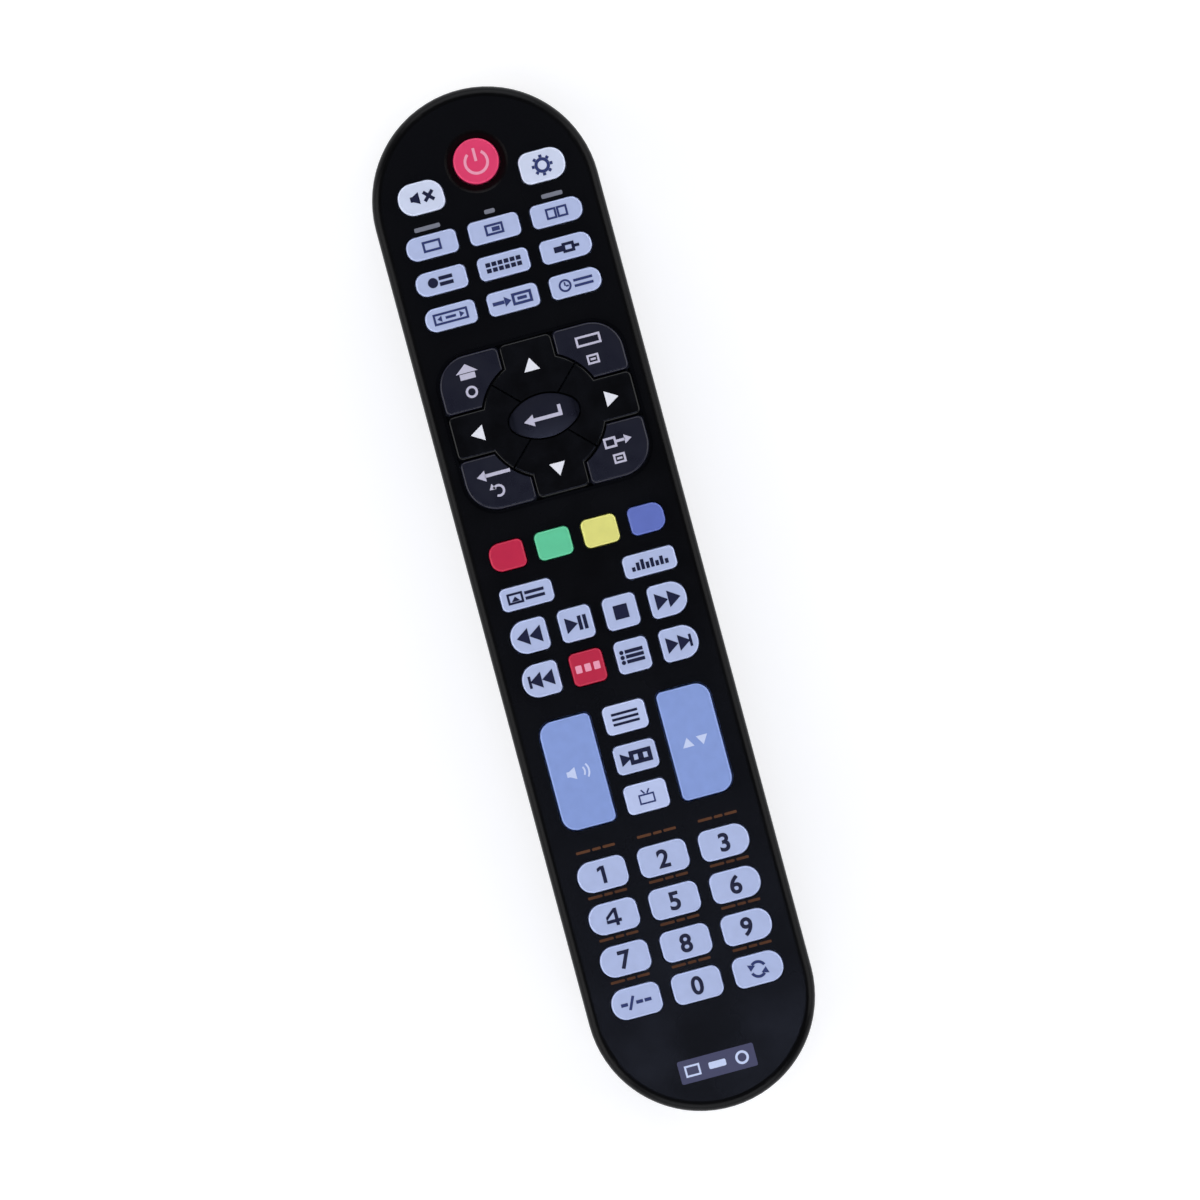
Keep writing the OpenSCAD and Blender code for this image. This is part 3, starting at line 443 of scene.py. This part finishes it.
class REMOTE_OT_dress_keys(bpy.types.Operator):
    """Give every key its rubber or its polished panel finish"""

    bl_idname = "remote.dress_keys"
    bl_label = "Key Finishes"

    def execute(self, context):
        colours = context.scene.remote_finishes
        dress(PALE_KEYS, silicone_rubber("lavender_silicone", colours.pale))
        dress(HEAD_KEYS, silicone_rubber("pale_silicone", colours.head))
        dress(MIDDLE_KEYS, silicone_rubber("middle_silicone", colours.middle))
        dress(NUMBER_KEYS + ENTRY_KEYS, silicone_rubber("number_silicone", colours.number))
        dress(ROCKERS, silicone_rubber("blue_silicone", colours.rocker))
        dress(["power_key"], silicone_rubber("power_silicone", colours.power))
        dress(["app_key"], silicone_rubber("app_silicone", colours.app))
        for name in ("red", "green", "yellow", "blue"):
            dress([f"{name}_key"], silicone_rubber(f"{name}_silicone", getattr(colours, name)))
        panel = polished_abs("dark_grey_abs", colours.corner, roughness=0.24, gloss=0.3)
        dress(CORNER_KEYS + ["enter_key"], panel)
        cross = polished_abs("polished_black_abs", colours.cross, roughness=0.14, gloss=0.2)
        dress(ARROW_KEYS, cross)
        return {"FINISHED"}


class REMOTE_OT_dress_inside(bpy.types.Operator):
    """Give the mat, the board, the lamp, the cells and their contacts a finish"""

    bl_idname = "remote.dress_inside"
    bl_label = "Inner Finishes"

    def execute(self, context):
        dress(["keypad_mat"], sponge_rubber("mat_silicone"))
        dress(["circuit_board"], solder_mask("green_solder_mask"))
        dress(["ir_led"], tinted_epoxy("violet_epoxy"))
        dress(["battery_cells"], foil_sleeve("cell_sleeve"))
        dress(["battery_contacts"], nickel_plate("nickel_plated_steel"))
        return {"FINISHED"}


# How finely the strokes' curves are stepped
CORNER_STEPS = 4
DISC_POINTS = 28
RING_POINTS = 48
# How often a mark is cut before it is bent to a crowned key
WRAP_CUTS = 7
# Points of a numeral that lie closer than this are one
WELD = 0.002 * MM


def place_stroke(x, y, turn=0):
    """Turns the stroke that was made about the middle, in degrees, and moves it to its place."""
    bpy.ops.mesh.select_all(action="SELECT")
    if turn:
        # Without a window the operator turns clockwise for a positive angle
        bpy.ops.transform.rotate(
            value=-math.radians(turn), orient_axis="Z", center_override=(0, 0, 0)
        )
    bpy.ops.transform.translate(value=(x, y, 0))


def bar(x, y, w, h, turn=0, soft=0):
    """Bar, with rounded corners if it is soft."""
    bpy.ops.mesh.primitive_plane_add(size=1)
    bpy.ops.transform.resize(value=(w, h, 1), center_override=(0, 0, 0))
    if soft:
        bpy.ops.mesh.bevel(offset=soft, segments=CORNER_STEPS, affect="VERTICES")
    place_stroke(x, y, turn)


def slope(x, y, w, h, rise, grow):
    """Bar whose right end is raised and grown."""
    bpy.ops.mesh.primitive_plane_add(size=1)
    bpy.ops.transform.resize(value=(w, h, 1), center_override=(0, 0, 0))
    for vert in bmesh.from_edit_mesh(bpy.context.object.data).verts:
        if not vert.hide and vert.co.x < 0:
            vert.select_set(False)
    bpy.ops.transform.resize(value=(1, grow, 1), center_override=(0, 0, 0))
    bpy.ops.transform.translate(value=(0, rise, 0))
    place_stroke(x, y)


def box_frame(x, y, w, h, line):
    """Outline of a box."""
    bpy.ops.mesh.primitive_plane_add(size=1)
    bpy.ops.transform.resize(value=(w, h, 1), center_override=(0, 0, 0))
    bpy.ops.mesh.inset(thickness=line)
    bpy.ops.mesh.delete(type="FACE")
    place_stroke(x, y)


def wedge(x, y, w, h, turn=0):
    """Triangle that points up before it is turned."""
    bpy.ops.mesh.primitive_circle_add(vertices=3, radius=1, fill_type="NGON")
    # A triangle in a circle of radius 1 is the root of 3 wide and 1.5 high
    bpy.ops.transform.resize(value=(w / math.sqrt(3), h / 1.5, 1), center_override=(0, 0, 0))
    place_stroke(x, y, turn)


def disc(x, y, r):
    """Round dot."""
    bpy.ops.mesh.primitive_circle_add(vertices=DISC_POINTS, radius=r, fill_type="NGON")
    place_stroke(x, y)


def ring(x, y, r, line, start=0, sweep=360):
    """Ring, or the part of one that runs anticlockwise from start, in degrees."""
    bpy.ops.mesh.primitive_circle_add(vertices=RING_POINTS, radius=r, fill_type="NGON")
    bpy.ops.mesh.inset(thickness=line)
    bpy.ops.mesh.delete(type="FACE")
    if sweep < 360:
        bpy.ops.mesh.select_all(action="DESELECT")
        for face in bmesh.from_edit_mesh(bpy.context.object.data).faces:
            at = face.calc_center_median()
            if not face.hide and (math.degrees(math.atan2(at.y, at.x)) - start) % 360 > sweep:
                face.select_set(True)
        bpy.ops.mesh.delete(type="FACE")
    place_stroke(x, y)


STROKES = {
    "bar": bar, "slope": slope, "frame": box_frame, "wedge": wedge, "disc": disc, "ring": ring,
}


def draw(name, strokes, scale=1):
    """Flat mark made of strokes, in millimetres about its middle."""
    bpy.ops.object.select_all(action="DESELECT")
    bpy.ops.object.add(type="MESH", enter_editmode=True)
    mark = bpy.context.object
    mark.name = name
    for shape, *sizes in strokes:
        # A finished stroke is hidden, so that the next one is all that can be selected
        STROKES[shape](*sizes)
        bpy.ops.mesh.hide()
    bpy.ops.mesh.reveal()
    bpy.ops.transform.resize(value=(scale * MM,) * 3, center_override=(0, 0, 0))
    bpy.ops.object.mode_set(mode="OBJECT")
    return mark


def copy_mark(mark, name):
    """A copy of a flat mark, with a mesh of its own."""
    bpy.ops.object.select_all(action="DESELECT")
    mark.select_set(True)
    bpy.context.view_layer.objects.active = mark
    bpy.ops.object.duplicate(linked=False)
    bpy.context.object.name = name
    return bpy.context.object


def write(name, text, size):
    """Flat mark of a numeral."""
    bpy.ops.object.select_all(action="DESELECT")
    bpy.ops.object.text_add()
    mark = bpy.context.object
    mark.name = name
    mark.data.body = text
    mark.data.size = size
    mark.data.align_x = "CENTER"
    mark.data.align_y = "CENTER"
    mark.data.offset = bpy.context.scene.remote_print.weight
    bpy.ops.object.convert(target="MESH")
    bpy.ops.object.mode_set(mode="EDIT")
    bpy.ops.mesh.select_all(action="SELECT")
    bpy.ops.mesh.remove_doubles(threshold=WELD)
    bpy.ops.object.mode_set(mode="OBJECT")
    bpy.ops.object.origin_set(type="ORIGIN_GEOMETRY", center="BOUNDS")
    return bpy.context.object


def print_mark(mark, at, ink, body, onto=None):
    """Puts a flat mark on its surface as a thin film of ink that moves with a body."""
    sizes = bpy.context.scene.remote_print
    mark.location = (at[0], at[1], at[2] + sizes.proud)
    bpy.ops.object.transform_apply(location=True, rotation=True, scale=True)
    if onto:
        # A crowned key bends the mark to its own surface
        bpy.ops.object.mode_set(mode="EDIT")
        bpy.ops.mesh.select_all(action="SELECT")
        bpy.ops.mesh.subdivide(number_cuts=WRAP_CUTS)
        bpy.ops.object.mode_set(mode="OBJECT")
        wrap = mark.modifiers.new("wrap", "SHRINKWRAP")
        wrap.target = frame["nodes"][onto]
        wrap.wrap_method = "PROJECT"
        wrap.use_project_z = True
        wrap.use_negative_direction = True
        wrap.offset = sizes.proud
        bpy.ops.object.modifier_apply(modifier="wrap")
    film = mark.modifiers.new("film", "SOLIDIFY")
    film.thickness = sizes.proud + sizes.depth
    film.offset = -1
    bpy.ops.object.modifier_apply(modifier="film")
    mark.data.materials.clear()
    mark.data.materials.append(ink)
    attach(mark, body)


def speaker(x):
    """Strokes of a loudspeaker."""
    return [("bar", x - 0.95, 0, 0.5, 1.0), ("slope", x - 0.1, 0, 1.2, 1.0, 0, 2.3)]


def double_wedge(turn, at, size=1):
    """Strokes of two arrowheads that point the same way."""
    return [("wedge", at + x * size, 0, 3.2 * size, 2.35 * size, turn) for x in (-1.2, 1.2)]


def list_lines(count, step):
    """Strokes of lines with a dot before each."""
    rows = [(i - (count - 1) / 2) * step for i in range(count)]
    return [("bar", 0.4, y, 3.4, 0.66) for y in rows] + [("disc", -1.95, y, 0.4) for y in rows]


def gear(teeth):
    """Strokes of a gear wheel."""
    spokes = [math.radians(360 * i / teeth) for i in range(teeth)]
    return [("ring", 0, 0, 1.45, 0.6)] + [
        ("bar", 1.72 * math.cos(a), 1.72 * math.sin(a), 0.5, 0.6, math.degrees(a)) for a in spokes
    ]


def level_bars(heights):
    """Strokes of a row of level bars."""
    return [
        ("bar", (i - (len(heights) - 1) / 2) * 0.9, (h - max(heights)) / 2, 0.64, h)
        for i, h in enumerate(heights)
    ]


# Marks on the pale keys, as strokes in millimetres about the middle of the key
BOLD_MARKS = {
    "mute_key": speaker(-0.8) + [
        ("bar", 1.5, 0, 2.5, 0.64, 45),
        ("bar", 2.05, -0.55, 0.92, 0.64, -45), ("bar", 0.95, 0.55, 0.92, 0.64, -45),
    ],
    "function_key_4": [
        ("disc", -1.6, 0, 0.95), ("bar", 0.9, 0.55, 2.6, 0.7), ("bar", 0.9, -0.55, 2.6, 0.7),
    ],
    "function_key_5": [
        ("bar", x * 0.58, y, 0.9, 0.8) for x in (-5, -3, -1, 1, 3, 5) for y in (-0.55, 0.55)
    ],
    "function_key_6": [
        ("bar", -1.5, 0, 1.6, 1.1), ("frame", 0.45, 0, 2.3, 1.9, 0.55),
        ("bar", 2.05, 0, 0.9, 0.55),
    ],
    "picture_mode_key": [
        ("frame", -2.2, 0, 3.0, 2.1, 0.42), ("wedge", -2.2, -0.26, 1.6, 0.9),
        ("bar", 1.5, 0.52, 3.7, 0.58), ("bar", 1.5, -0.52, 3.7, 0.58),
    ],
    "sound_mode_key": level_bars([0.8, 1.5, 1.9, 1.2, 1.7, 1.0, 1.6, 0.9]),
    "rewind_key": double_wedge(90, 0.35),
    "play_key": [
        ("wedge", -1.2, 0, 3.0, 2.3, -90), ("bar", 0.75, 0, 0.68, 2.7), ("bar", 1.75, 0, 0.68, 2.7),
    ],
    "stop_key": [("bar", 0, 0, 2.65, 2.65)],
    "forward_key": double_wedge(-90, -0.35),
    "previous_key": [("bar", -2.1, 0, 0.5, 2.3)] + double_wedge(90, 0.55, 0.95),
    "list_key": list_lines(3, 0.95),
    "next_key": double_wedge(-90, -0.55, 0.95) + [("bar", 2.1, 0, 0.5, 2.3)],
    "menu_key": [("bar", 0, y, 5.0, 0.48) for y in (-0.95, 0, 0.95)],
    "video_key": [
        ("frame", 0.9, 0, 4.2, 2.6, 0.78), ("bar", 0.9, 0, 1.0, 1.3),
        ("wedge", -2.2, 0, 2.4, 2.0, -90),
    ],
}
THIN_MARKS = {
    "set_key": gear(8),
    "function_key_1": [("frame", 0, 0, 3.5, 2.1, 0.44)],
    "function_key_2": [("frame", 0, 0, 3.5, 2.1, 0.44), ("bar", 0.3, 0, 1.5, 0.8)],
    "function_key_3": [("frame", -1.05, 0, 2.0, 2.1, 0.4), ("frame", 1.05, 0, 2.0, 2.1, 0.4)],
    "function_key_7": [
        ("frame", 0, 0, 6.6, 2.2, 0.42), ("wedge", -2.0, 0, 1.2, 0.9, 90),
        ("wedge", 2.0, 0, 1.2, 0.9, -90), ("bar", 0, 0, 2.0, 0.5),
    ],
    "function_key_8": [
        ("bar", -2.8, 0, 2.2, 0.68), ("wedge", -1.2, 0, 1.9, 1.3, -90),
        ("frame", 1.7, 0, 3.8, 2.3, 0.52), ("bar", 1.7, 0, 1.8, 0.6),
    ],
    "function_key_9": [
        ("ring", -2.0, 0, 1.2, 0.38), ("bar", -2.0, 0.3, 0.32, 0.7),
        ("bar", -1.6, -0.1, 0.55, 0.32),
        ("bar", 1.5, 0.52, 3.6, 0.5), ("bar", 1.5, -0.52, 3.6, 0.5),
    ],
    "source_key": [
        ("frame", 0, -0.35, 3.0, 1.9, 0.3),
        ("bar", -0.5, 1.05, 0.28, 0.9, 35), ("bar", 0.5, 1.05, 0.28, 0.9, -35),
    ],
    "digits_key": [
        ("bar", -2.3, -0.1, 1.3, 0.64), ("bar", -0.9, 0, 0.52, 2.7, -24),
        ("bar", 0.6, -0.1, 1.3, 0.64), ("bar", 2.2, -0.1, 1.3, 0.64),
    ],
    "recall_key": [
        ("ring", 0, 0, 1.65, 0.54, 20, 115), ("ring", 0, 0, 1.65, 0.54, 200, 115),
        ("wedge", -1.25, 0.58, 1.5, 1.15, 165), ("wedge", 1.25, -0.58, 1.5, 1.15, -15),
    ],
}
# The symbols of keys and rockers are printed this much larger than drawn
MARK_SCALE = 1.1


class REMOTE_OT_key_marks(bpy.types.Operator):
    """Print the dark symbols on the pale keys"""

    bl_idname = "remote.key_marks"
    bl_label = "Key Symbols"

    def execute(self, context):
        inks = context.scene.remote_print
        for marks, ink in (
            (BOLD_MARKS, printing_ink("navy_ink", inks.dark_ink)),
            (THIN_MARKS, printing_ink("thin_navy_ink", inks.blue_ink)),
        ):
            for key, strokes in marks.items():
                mark = draw(f"{key}_mark", strokes, MARK_SCALE)
                print_mark(mark, middle(key), ink, key)
        return {"FINISHED"}


# A one with a flag, which the type lacks, and a four that stays open when it is heavy
DRAWN_NUMERALS = {
    "1": [("bar", 0.3, 0, 0.76, 3.6), ("slope", -0.46, 1.1, 0.8, 0.7, 0.4, 1)],
    "4": [
        ("bar", 0.55, 0, 0.7, 3.6), ("bar", -0.7, -0.8, 1.8, 0.68), ("bar", 1.2, -0.8, 0.6, 0.68),
        ("slope", -0.65, -0.13, 1.8, 0.76, 1.55, 1),
    ],
}
# The type's own nine doesn't fill when it is heavy, so a six is turned over
TURNED_NUMERALS = {"9": "6"}


class REMOTE_OT_numerals(bpy.types.Operator):
    """Print the numerals of the number pad"""

    bl_idname = "remote.numerals"
    bl_label = "Numerals"

    def execute(self, context):
        sizes = context.scene.remote_print
        ink = printing_ink("numeral_ink", sizes.dark_ink)
        for key in NUMBER_KEYS:
            name = f"{key}_mark"
            digit = key[-1]
            if digit in DRAWN_NUMERALS:
                mark = draw(name, DRAWN_NUMERALS[digit])
            else:
                mark = write(name, TURNED_NUMERALS.get(digit, digit), sizes.numeral)
            if digit in TURNED_NUMERALS:
                mark.rotation_euler.z = math.pi
            print_mark(mark, middle(key), ink, key)
        return {"FINISHED"}


POWER_MARK = [("ring", 0, -0.2, 2.6, 0.58, 125, 290), ("bar", 0, 1.35, 0.58, 2.7)]
APP_MARK = [("bar", x, 0, 1.3, 1.6, 0, 0.2) for x in (-1.9, 0, 1.9)]
ROCKER_MARKS = {
    "volume_rocker": speaker(-0.7) + [("ring", 0.3, 0, r, 0.34, -38, 76) for r in (1.4, 2.2)],
    "channel_rocker": [("wedge", -1.4, -0.2, 2.2, 1.8), ("wedge", 1.4, 0.2, 2.2, 1.8, 180)],
}


class REMOTE_OT_red_marks(bpy.types.Operator):
    """Print the pale symbols on the red keys and on the rockers"""

    bl_idname = "remote.red_marks"
    bl_label = "Power, App and Rocker Symbols"

    def execute(self, context):
        inks = context.scene.remote_print
        pink = printing_ink("pink_ink", inks.power_ink)
        mark = draw("power_key_mark", POWER_MARK)
        print_mark(mark, middle("power_key"), pink, "power_key")
        mark = draw("app_key_mark", APP_MARK)
        print_mark(mark, middle("app_key"), pink, "app_key")
        pale = printing_ink("rocker_ink", inks.rocker_ink)
        for rocker, strokes in ROCKER_MARKS.items():
            mark = draw(f"{rocker}_mark", strokes, MARK_SCALE)
            print_mark(mark, middle(rocker), pale, rocker)
        return {"FINISHED"}


# Arrowheads from the middle of the navigation cluster, as place in millimetres and turn
ARROWS = {
    "up_key": (0, 10.4, 0), "down_key": (0, -10.8, 180),
    "left_key": (-13.7, -0.1, 90), "right_key": (13.8, 0, -90),
}
ARROW_WIDTH, ARROW_HEIGHT = 3.3, 2.7
# Symbols of the corner keys, an upper and a lower one, about the middle of the symbols
CORNER_MARKS = {
    "home_key": [
        ("wedge", 0, 2.55, 4.6, 1.8), ("bar", 0, 1.2, 3.2, 1.2), ("ring", 0, -2.1, 1.25, 0.48),
    ],
    "display_key": [
        ("frame", 0, 2.0, 5.2, 2.2, 0.46),
        ("frame", 0, -2.0, 2.5, 2.0, 0.42), ("bar", 0, -2.0, 1.1, 0.42),
    ],
    "return_key": [
        ("wedge", -2.5, 1.7, 2.3, 1.8, 90), ("bar", 0.65, 1.7, 5.3, 0.7),
        ("ring", 0, -1.8, 1.3, 0.48, -120, 270), ("wedge", -1.1, -0.95, 1.5, 1.2, 120),
    ],
    "exit_key": [
        ("frame", -1.1, 1.7, 2.6, 2.2, 0.46), ("bar", 1.1, 1.7, 1.8, 0.55),
        ("wedge", 2.4, 1.7, 1.9, 1.5, -90),
        ("frame", 0, -1.8, 2.5, 2.0, 0.42), ("bar", 0, -1.8, 1.1, 0.42),
    ],
}
# Middles of those symbols from the middle of the cluster, in millimetres
CORNER_MARK_PLACES = {
    "home_key": (-13.0, 10.6), "display_key": (12.6, 10.6),
    "return_key": (-12.9, -10.5), "exit_key": (12.6, -10.5),
}
ENTER_MARK = [
    ("wedge", -3.0, -0.4, 2.5, 2.1, 90),
    ("bar", 0.7, -0.4, 6.0, 0.75), ("bar", 3.35, 0.75, 0.7, 1.6),
]


class REMOTE_OT_navigation_marks(bpy.types.Operator):
    """Print the arrows and symbols of the navigation cluster"""

    bl_idname = "remote.navigation_marks"
    bl_label = "Navigation Symbols"

    def execute(self, context):
        inks = context.scene.remote_print
        x, y, top = middle("enter_key")
        white = printing_ink("white_ink", inks.white_ink)
        for key, (dx, dy, turn) in ARROWS.items():
            mark = draw(f"{key}_mark", [("wedge", 0, 0, ARROW_WIDTH, ARROW_HEIGHT, turn)])
            print_mark(mark, (x + dx * MM, y + dy * MM, middle(key)[2]), white, key)
        pale = printing_ink("pale_ink", inks.pale_ink)
        for key, (dx, dy) in CORNER_MARK_PLACES.items():
            mark = draw(f"{key}_mark", CORNER_MARKS[key])
            print_mark(mark, (x + dx * MM, y + dy * MM, middle(key)[2]), pale, key)
        mark = draw("enter_key_mark", ENTER_MARK)
        print_mark(mark, (x, y, top), pale, "enter_key", onto="enter_key")
        return {"FINISHED"}


# Widths in millimetres of the marks over the first three function keys, then their other sizes
FUNCTION_LABEL_WIDTHS = {1: 5.4, 2: 2.2, 3: 4.4}
FUNCTION_LABEL_HEIGHT, FUNCTION_LABEL_CORNER = 0.9, 0.3
FUNCTION_LABEL_RISE = 3.8 * MM
# Dashes over the number keys, a little higher over the first row, as place and width
DASHES = ((-2.6, 3.0), (0.2, 1.8), (2.8, 2.6))
NUMBER_LABEL = [("bar", x, 0, width, 0.55, 0, 0.2) for x, width in DASHES]
NUMBER_LABEL_RISE, FIRST_ROW_RISE = 4.8 * MM, 5.4 * MM
# Strip of signs at the foot
STRIP_X, STRIP_Y = -0.2 * MM, -98.1 * MM
STRIP = [("bar", 0, 0, 16, 4.8, 0, 0.4)]
STRIP_SIGNS = [
    ("frame", -5.2, 0, 3.2, 2.4, 0.4), ("bar", 0, 0, 3.6, 1.4, 0, 0.3), ("ring", 5.2, 0, 1.4, 0.5),
]


class REMOTE_OT_face_marks(bpy.types.Operator):
    """Print the small marks between the keys and the strip at the foot"""

    bl_idname = "remote.face_marks"
    bl_label = "Face Marks"

    def execute(self, context):
        inks = context.scene.remote_print
        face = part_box("top_cover")[1].z
        grey = printing_ink("grey_ink", inks.face_ink)
        for i, width in FUNCTION_LABEL_WIDTHS.items():
            x, y, _ = middle(f"function_key_{i}")
            label = [("bar", 0, 0, width, FUNCTION_LABEL_HEIGHT, 0, FUNCTION_LABEL_CORNER)]
            mark = draw(f"function_label_{i}", label)
            print_mark(mark, (x, y + FUNCTION_LABEL_RISE, face), grey, "case")
        orange = printing_ink("orange_ink", inks.orange_ink)
        dashes = draw("number_label", NUMBER_LABEL)
        for key in NUMBER_KEYS + ENTRY_KEYS:
            x, y, _ = middle(key)
            rise = FIRST_ROW_RISE if key in FIRST_NUMBER_ROW else NUMBER_LABEL_RISE
            mark = copy_mark(dashes, f"{key}_label")
            print_mark(mark, (x, y + rise, face), orange, "case")
        bpy.data.objects.remove(dashes)
        slate = printing_ink("slate_ink", inks.strip_ink)
        mark = draw("foot_strip", STRIP)
        print_mark(mark, (STRIP_X, STRIP_Y, face), slate, "case")
        # The signs lie on the strip's own film of ink
        pale = printing_ink("strip_sign_ink", inks.rocker_ink)
        mark = draw("foot_signs", STRIP_SIGNS)
        print_mark(mark, (STRIP_X, STRIP_Y, face + inks.proud), pale, "case")
        return {"FINISHED"}


# Lamps as name, place in metres, width and height, watts and colour
LAMPS = [
    ("right_softbox", (1.05, 0.1, 0.55), (1.5, 0.7), 7.2, "#ffffff"),
    ("left_softbox", (-1.05, -0.1, 0.55), (1.5, 0.7), 8.0, "#ffffff"),
    ("head_softbox", (0.1, 1.15, 0.6), (1.5, 0.7), 7.4, "#f8faff"),
    ("foot_softbox", (-0.1, -1.15, 0.6), (1.5, 0.7), 7.4, "#f8faff"),
    ("head_glow", (0, 0.2, 1.0), (0.6, 0.1), 0.18, "#c8d4ff"),
    ("foot_glow", (0, -0.18, 1.0), (0.6, 0.07), 0.95, "#c8d4ff"),
]
# The floor lies a hair under the case, so that the two don't share a plane
FLOOR_DROP = 0.2 * MM
# Side of the floor in metres, and width of the camera's sensor in millimetres
FLOOR_SIZE = 40
SENSOR_WIDTH = 36
CLIP_START = 10 * MM
# Height of the case's shoulder, at which the field of the camera is measured
SHOULDER = 18 * MM
# The case's middle lies a little left of and above the picture's middle
CAMERA_X, CAMERA_Y = 1.2 * MM, -0.6 * MM


def pale_horizon(world):
    """Studio room: pale to look at, but with a dark ceiling for the black case to mirror."""
    world.use_nodes = True
    tree = world.node_tree
    tree.nodes.clear()
    way = add_node(tree, "ShaderNodeTexCoord", {}).outputs["Generated"]
    rise = add_node(tree, "ShaderNodeSeparateXYZ", {"Vector": way}).outputs["Z"]
    level = add_node(
        tree, "ShaderNodeMapRange",
        {"Value": rise, "From Min": 0.06, "From Max": 0.35, "To Min": 1.15, "To Max": 0.04},
    )
    seen = add_node(tree, "ShaderNodeLightPath", {}).outputs["Is Camera Ray"]
    strength = add_node(tree, "ShaderNodeMix", {0: seen, 2: level.outputs["Result"], 3: 1.0})
    sky = add_node(
        tree, "ShaderNodeBackground",
        {"Color": linear("#f4f6fb"), "Strength": strength.outputs[0]},
    )
    add_node(tree, "ShaderNodeOutputWorld", {"Surface": sky.outputs["Background"]})


class REMOTE_OT_stage(bpy.types.Operator):
    """Set the floor, the lamps and the camera"""

    bl_idname = "remote.stage"
    bl_label = "Studio"

    def execute(self, context):
        studio = context.scene.remote_studio
        bpy.ops.object.select_all(action="DESELECT")
        bpy.ops.mesh.primitive_plane_add(size=FLOOR_SIZE, location=(0, 0, -FLOOR_DROP))
        floor = context.object
        floor.name = "paper_floor"
        floor.data.materials.append(studio_paper("white_paper"))
        for name, place, size, watts, tint in LAMPS:
            bpy.ops.object.light_add(type="AREA", location=place)
            lamp = context.object
            lamp.name = name
            lamp.data.shape = "RECTANGLE"
            lamp.data.size, lamp.data.size_y = size
            lamp.data.energy = watts * studio.light
            lamp.data.color = linear(tint)[:3]
            # A lamp shines along its own -Z axis, here to the middle of the floor
            lamp.rotation_euler = (-lamp.location).to_track_quat("-Z", "Y").to_euler()
        world = bpy.data.worlds.new("studio_world")
        pale_horizon(world)
        context.scene.world = world
        context.scene.view_settings.view_transform = "Standard"
        self.add_camera(context, studio)
        return {"FINISHED"}

    def add_camera(self, context, studio):
        """Camera over the remote control, rolled as the picture is."""
        bpy.ops.object.camera_add()
        camera = context.object
        camera.name = "camera"
        camera.data.lens = studio.lens
        camera.data.sensor_width = SENSOR_WIDTH
        camera.data.clip_start = CLIP_START
        height = studio.field * studio.lens / SENSOR_WIDTH
        camera.location = (CAMERA_X, CAMERA_Y, SHOULDER + height)
        camera.rotation_euler = (0, 0, -studio.roll)
        context.scene.camera = camera


class REMOTE_PT_panel(bpy.types.Panel):
    """Steps that dress the remote control"""

    bl_idname = "REMOTE_PT_panel"
    bl_label = "Remote Control"
    bl_space_type = "VIEW_3D"
    bl_region_type = "UI"
    bl_category = "Remote"

    def draw(self, context):
        column = self.layout.column()
        for operator in OPERATORS:
            column.operator(operator.bl_idname)
        for settings in GROUPS:
            group = getattr(context.scene, settings)
            box = self.layout.box()
            for name in group.__annotations__:
                box.prop(group, name)


GROUPS = {
    "remote_finishes": RemoteFinishes,
    "remote_print": RemotePrint,
    "remote_studio": RemoteStudio,
}
OPERATORS = [
    REMOTE_OT_dress_case, REMOTE_OT_dress_keys, REMOTE_OT_dress_inside, REMOTE_OT_key_marks,
    REMOTE_OT_numerals, REMOTE_OT_red_marks, REMOTE_OT_navigation_marks, REMOTE_OT_face_marks,
    REMOTE_OT_stage,
]


def register():
    """Registers the classes and the settings."""
    for cls in list(GROUPS.values()) + OPERATORS + [REMOTE_PT_panel]:
        bpy.utils.register_class(cls)
    for name, group in GROUPS.items():
        setattr(bpy.types.Scene, name, bpy.props.PointerProperty(type=group))


def unregister():
    """Takes the settings and the classes away again."""
    for name in GROUPS:
        delattr(bpy.types.Scene, name)
    for cls in reversed(list(GROUPS.values()) + OPERATORS + [REMOTE_PT_panel]):
        bpy.utils.unregister_class(cls)


def main():
    """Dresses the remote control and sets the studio."""
    register()
    bpy.ops.remote.dress_case()
    bpy.ops.remote.dress_keys()
    bpy.ops.remote.dress_inside()
    bpy.ops.remote.key_marks()
    bpy.ops.remote.numerals()
    bpy.ops.remote.red_marks()
    bpy.ops.remote.navigation_marks()
    bpy.ops.remote.face_marks()
    bpy.ops.remote.stage()


if __name__ == "__main__":
    main()
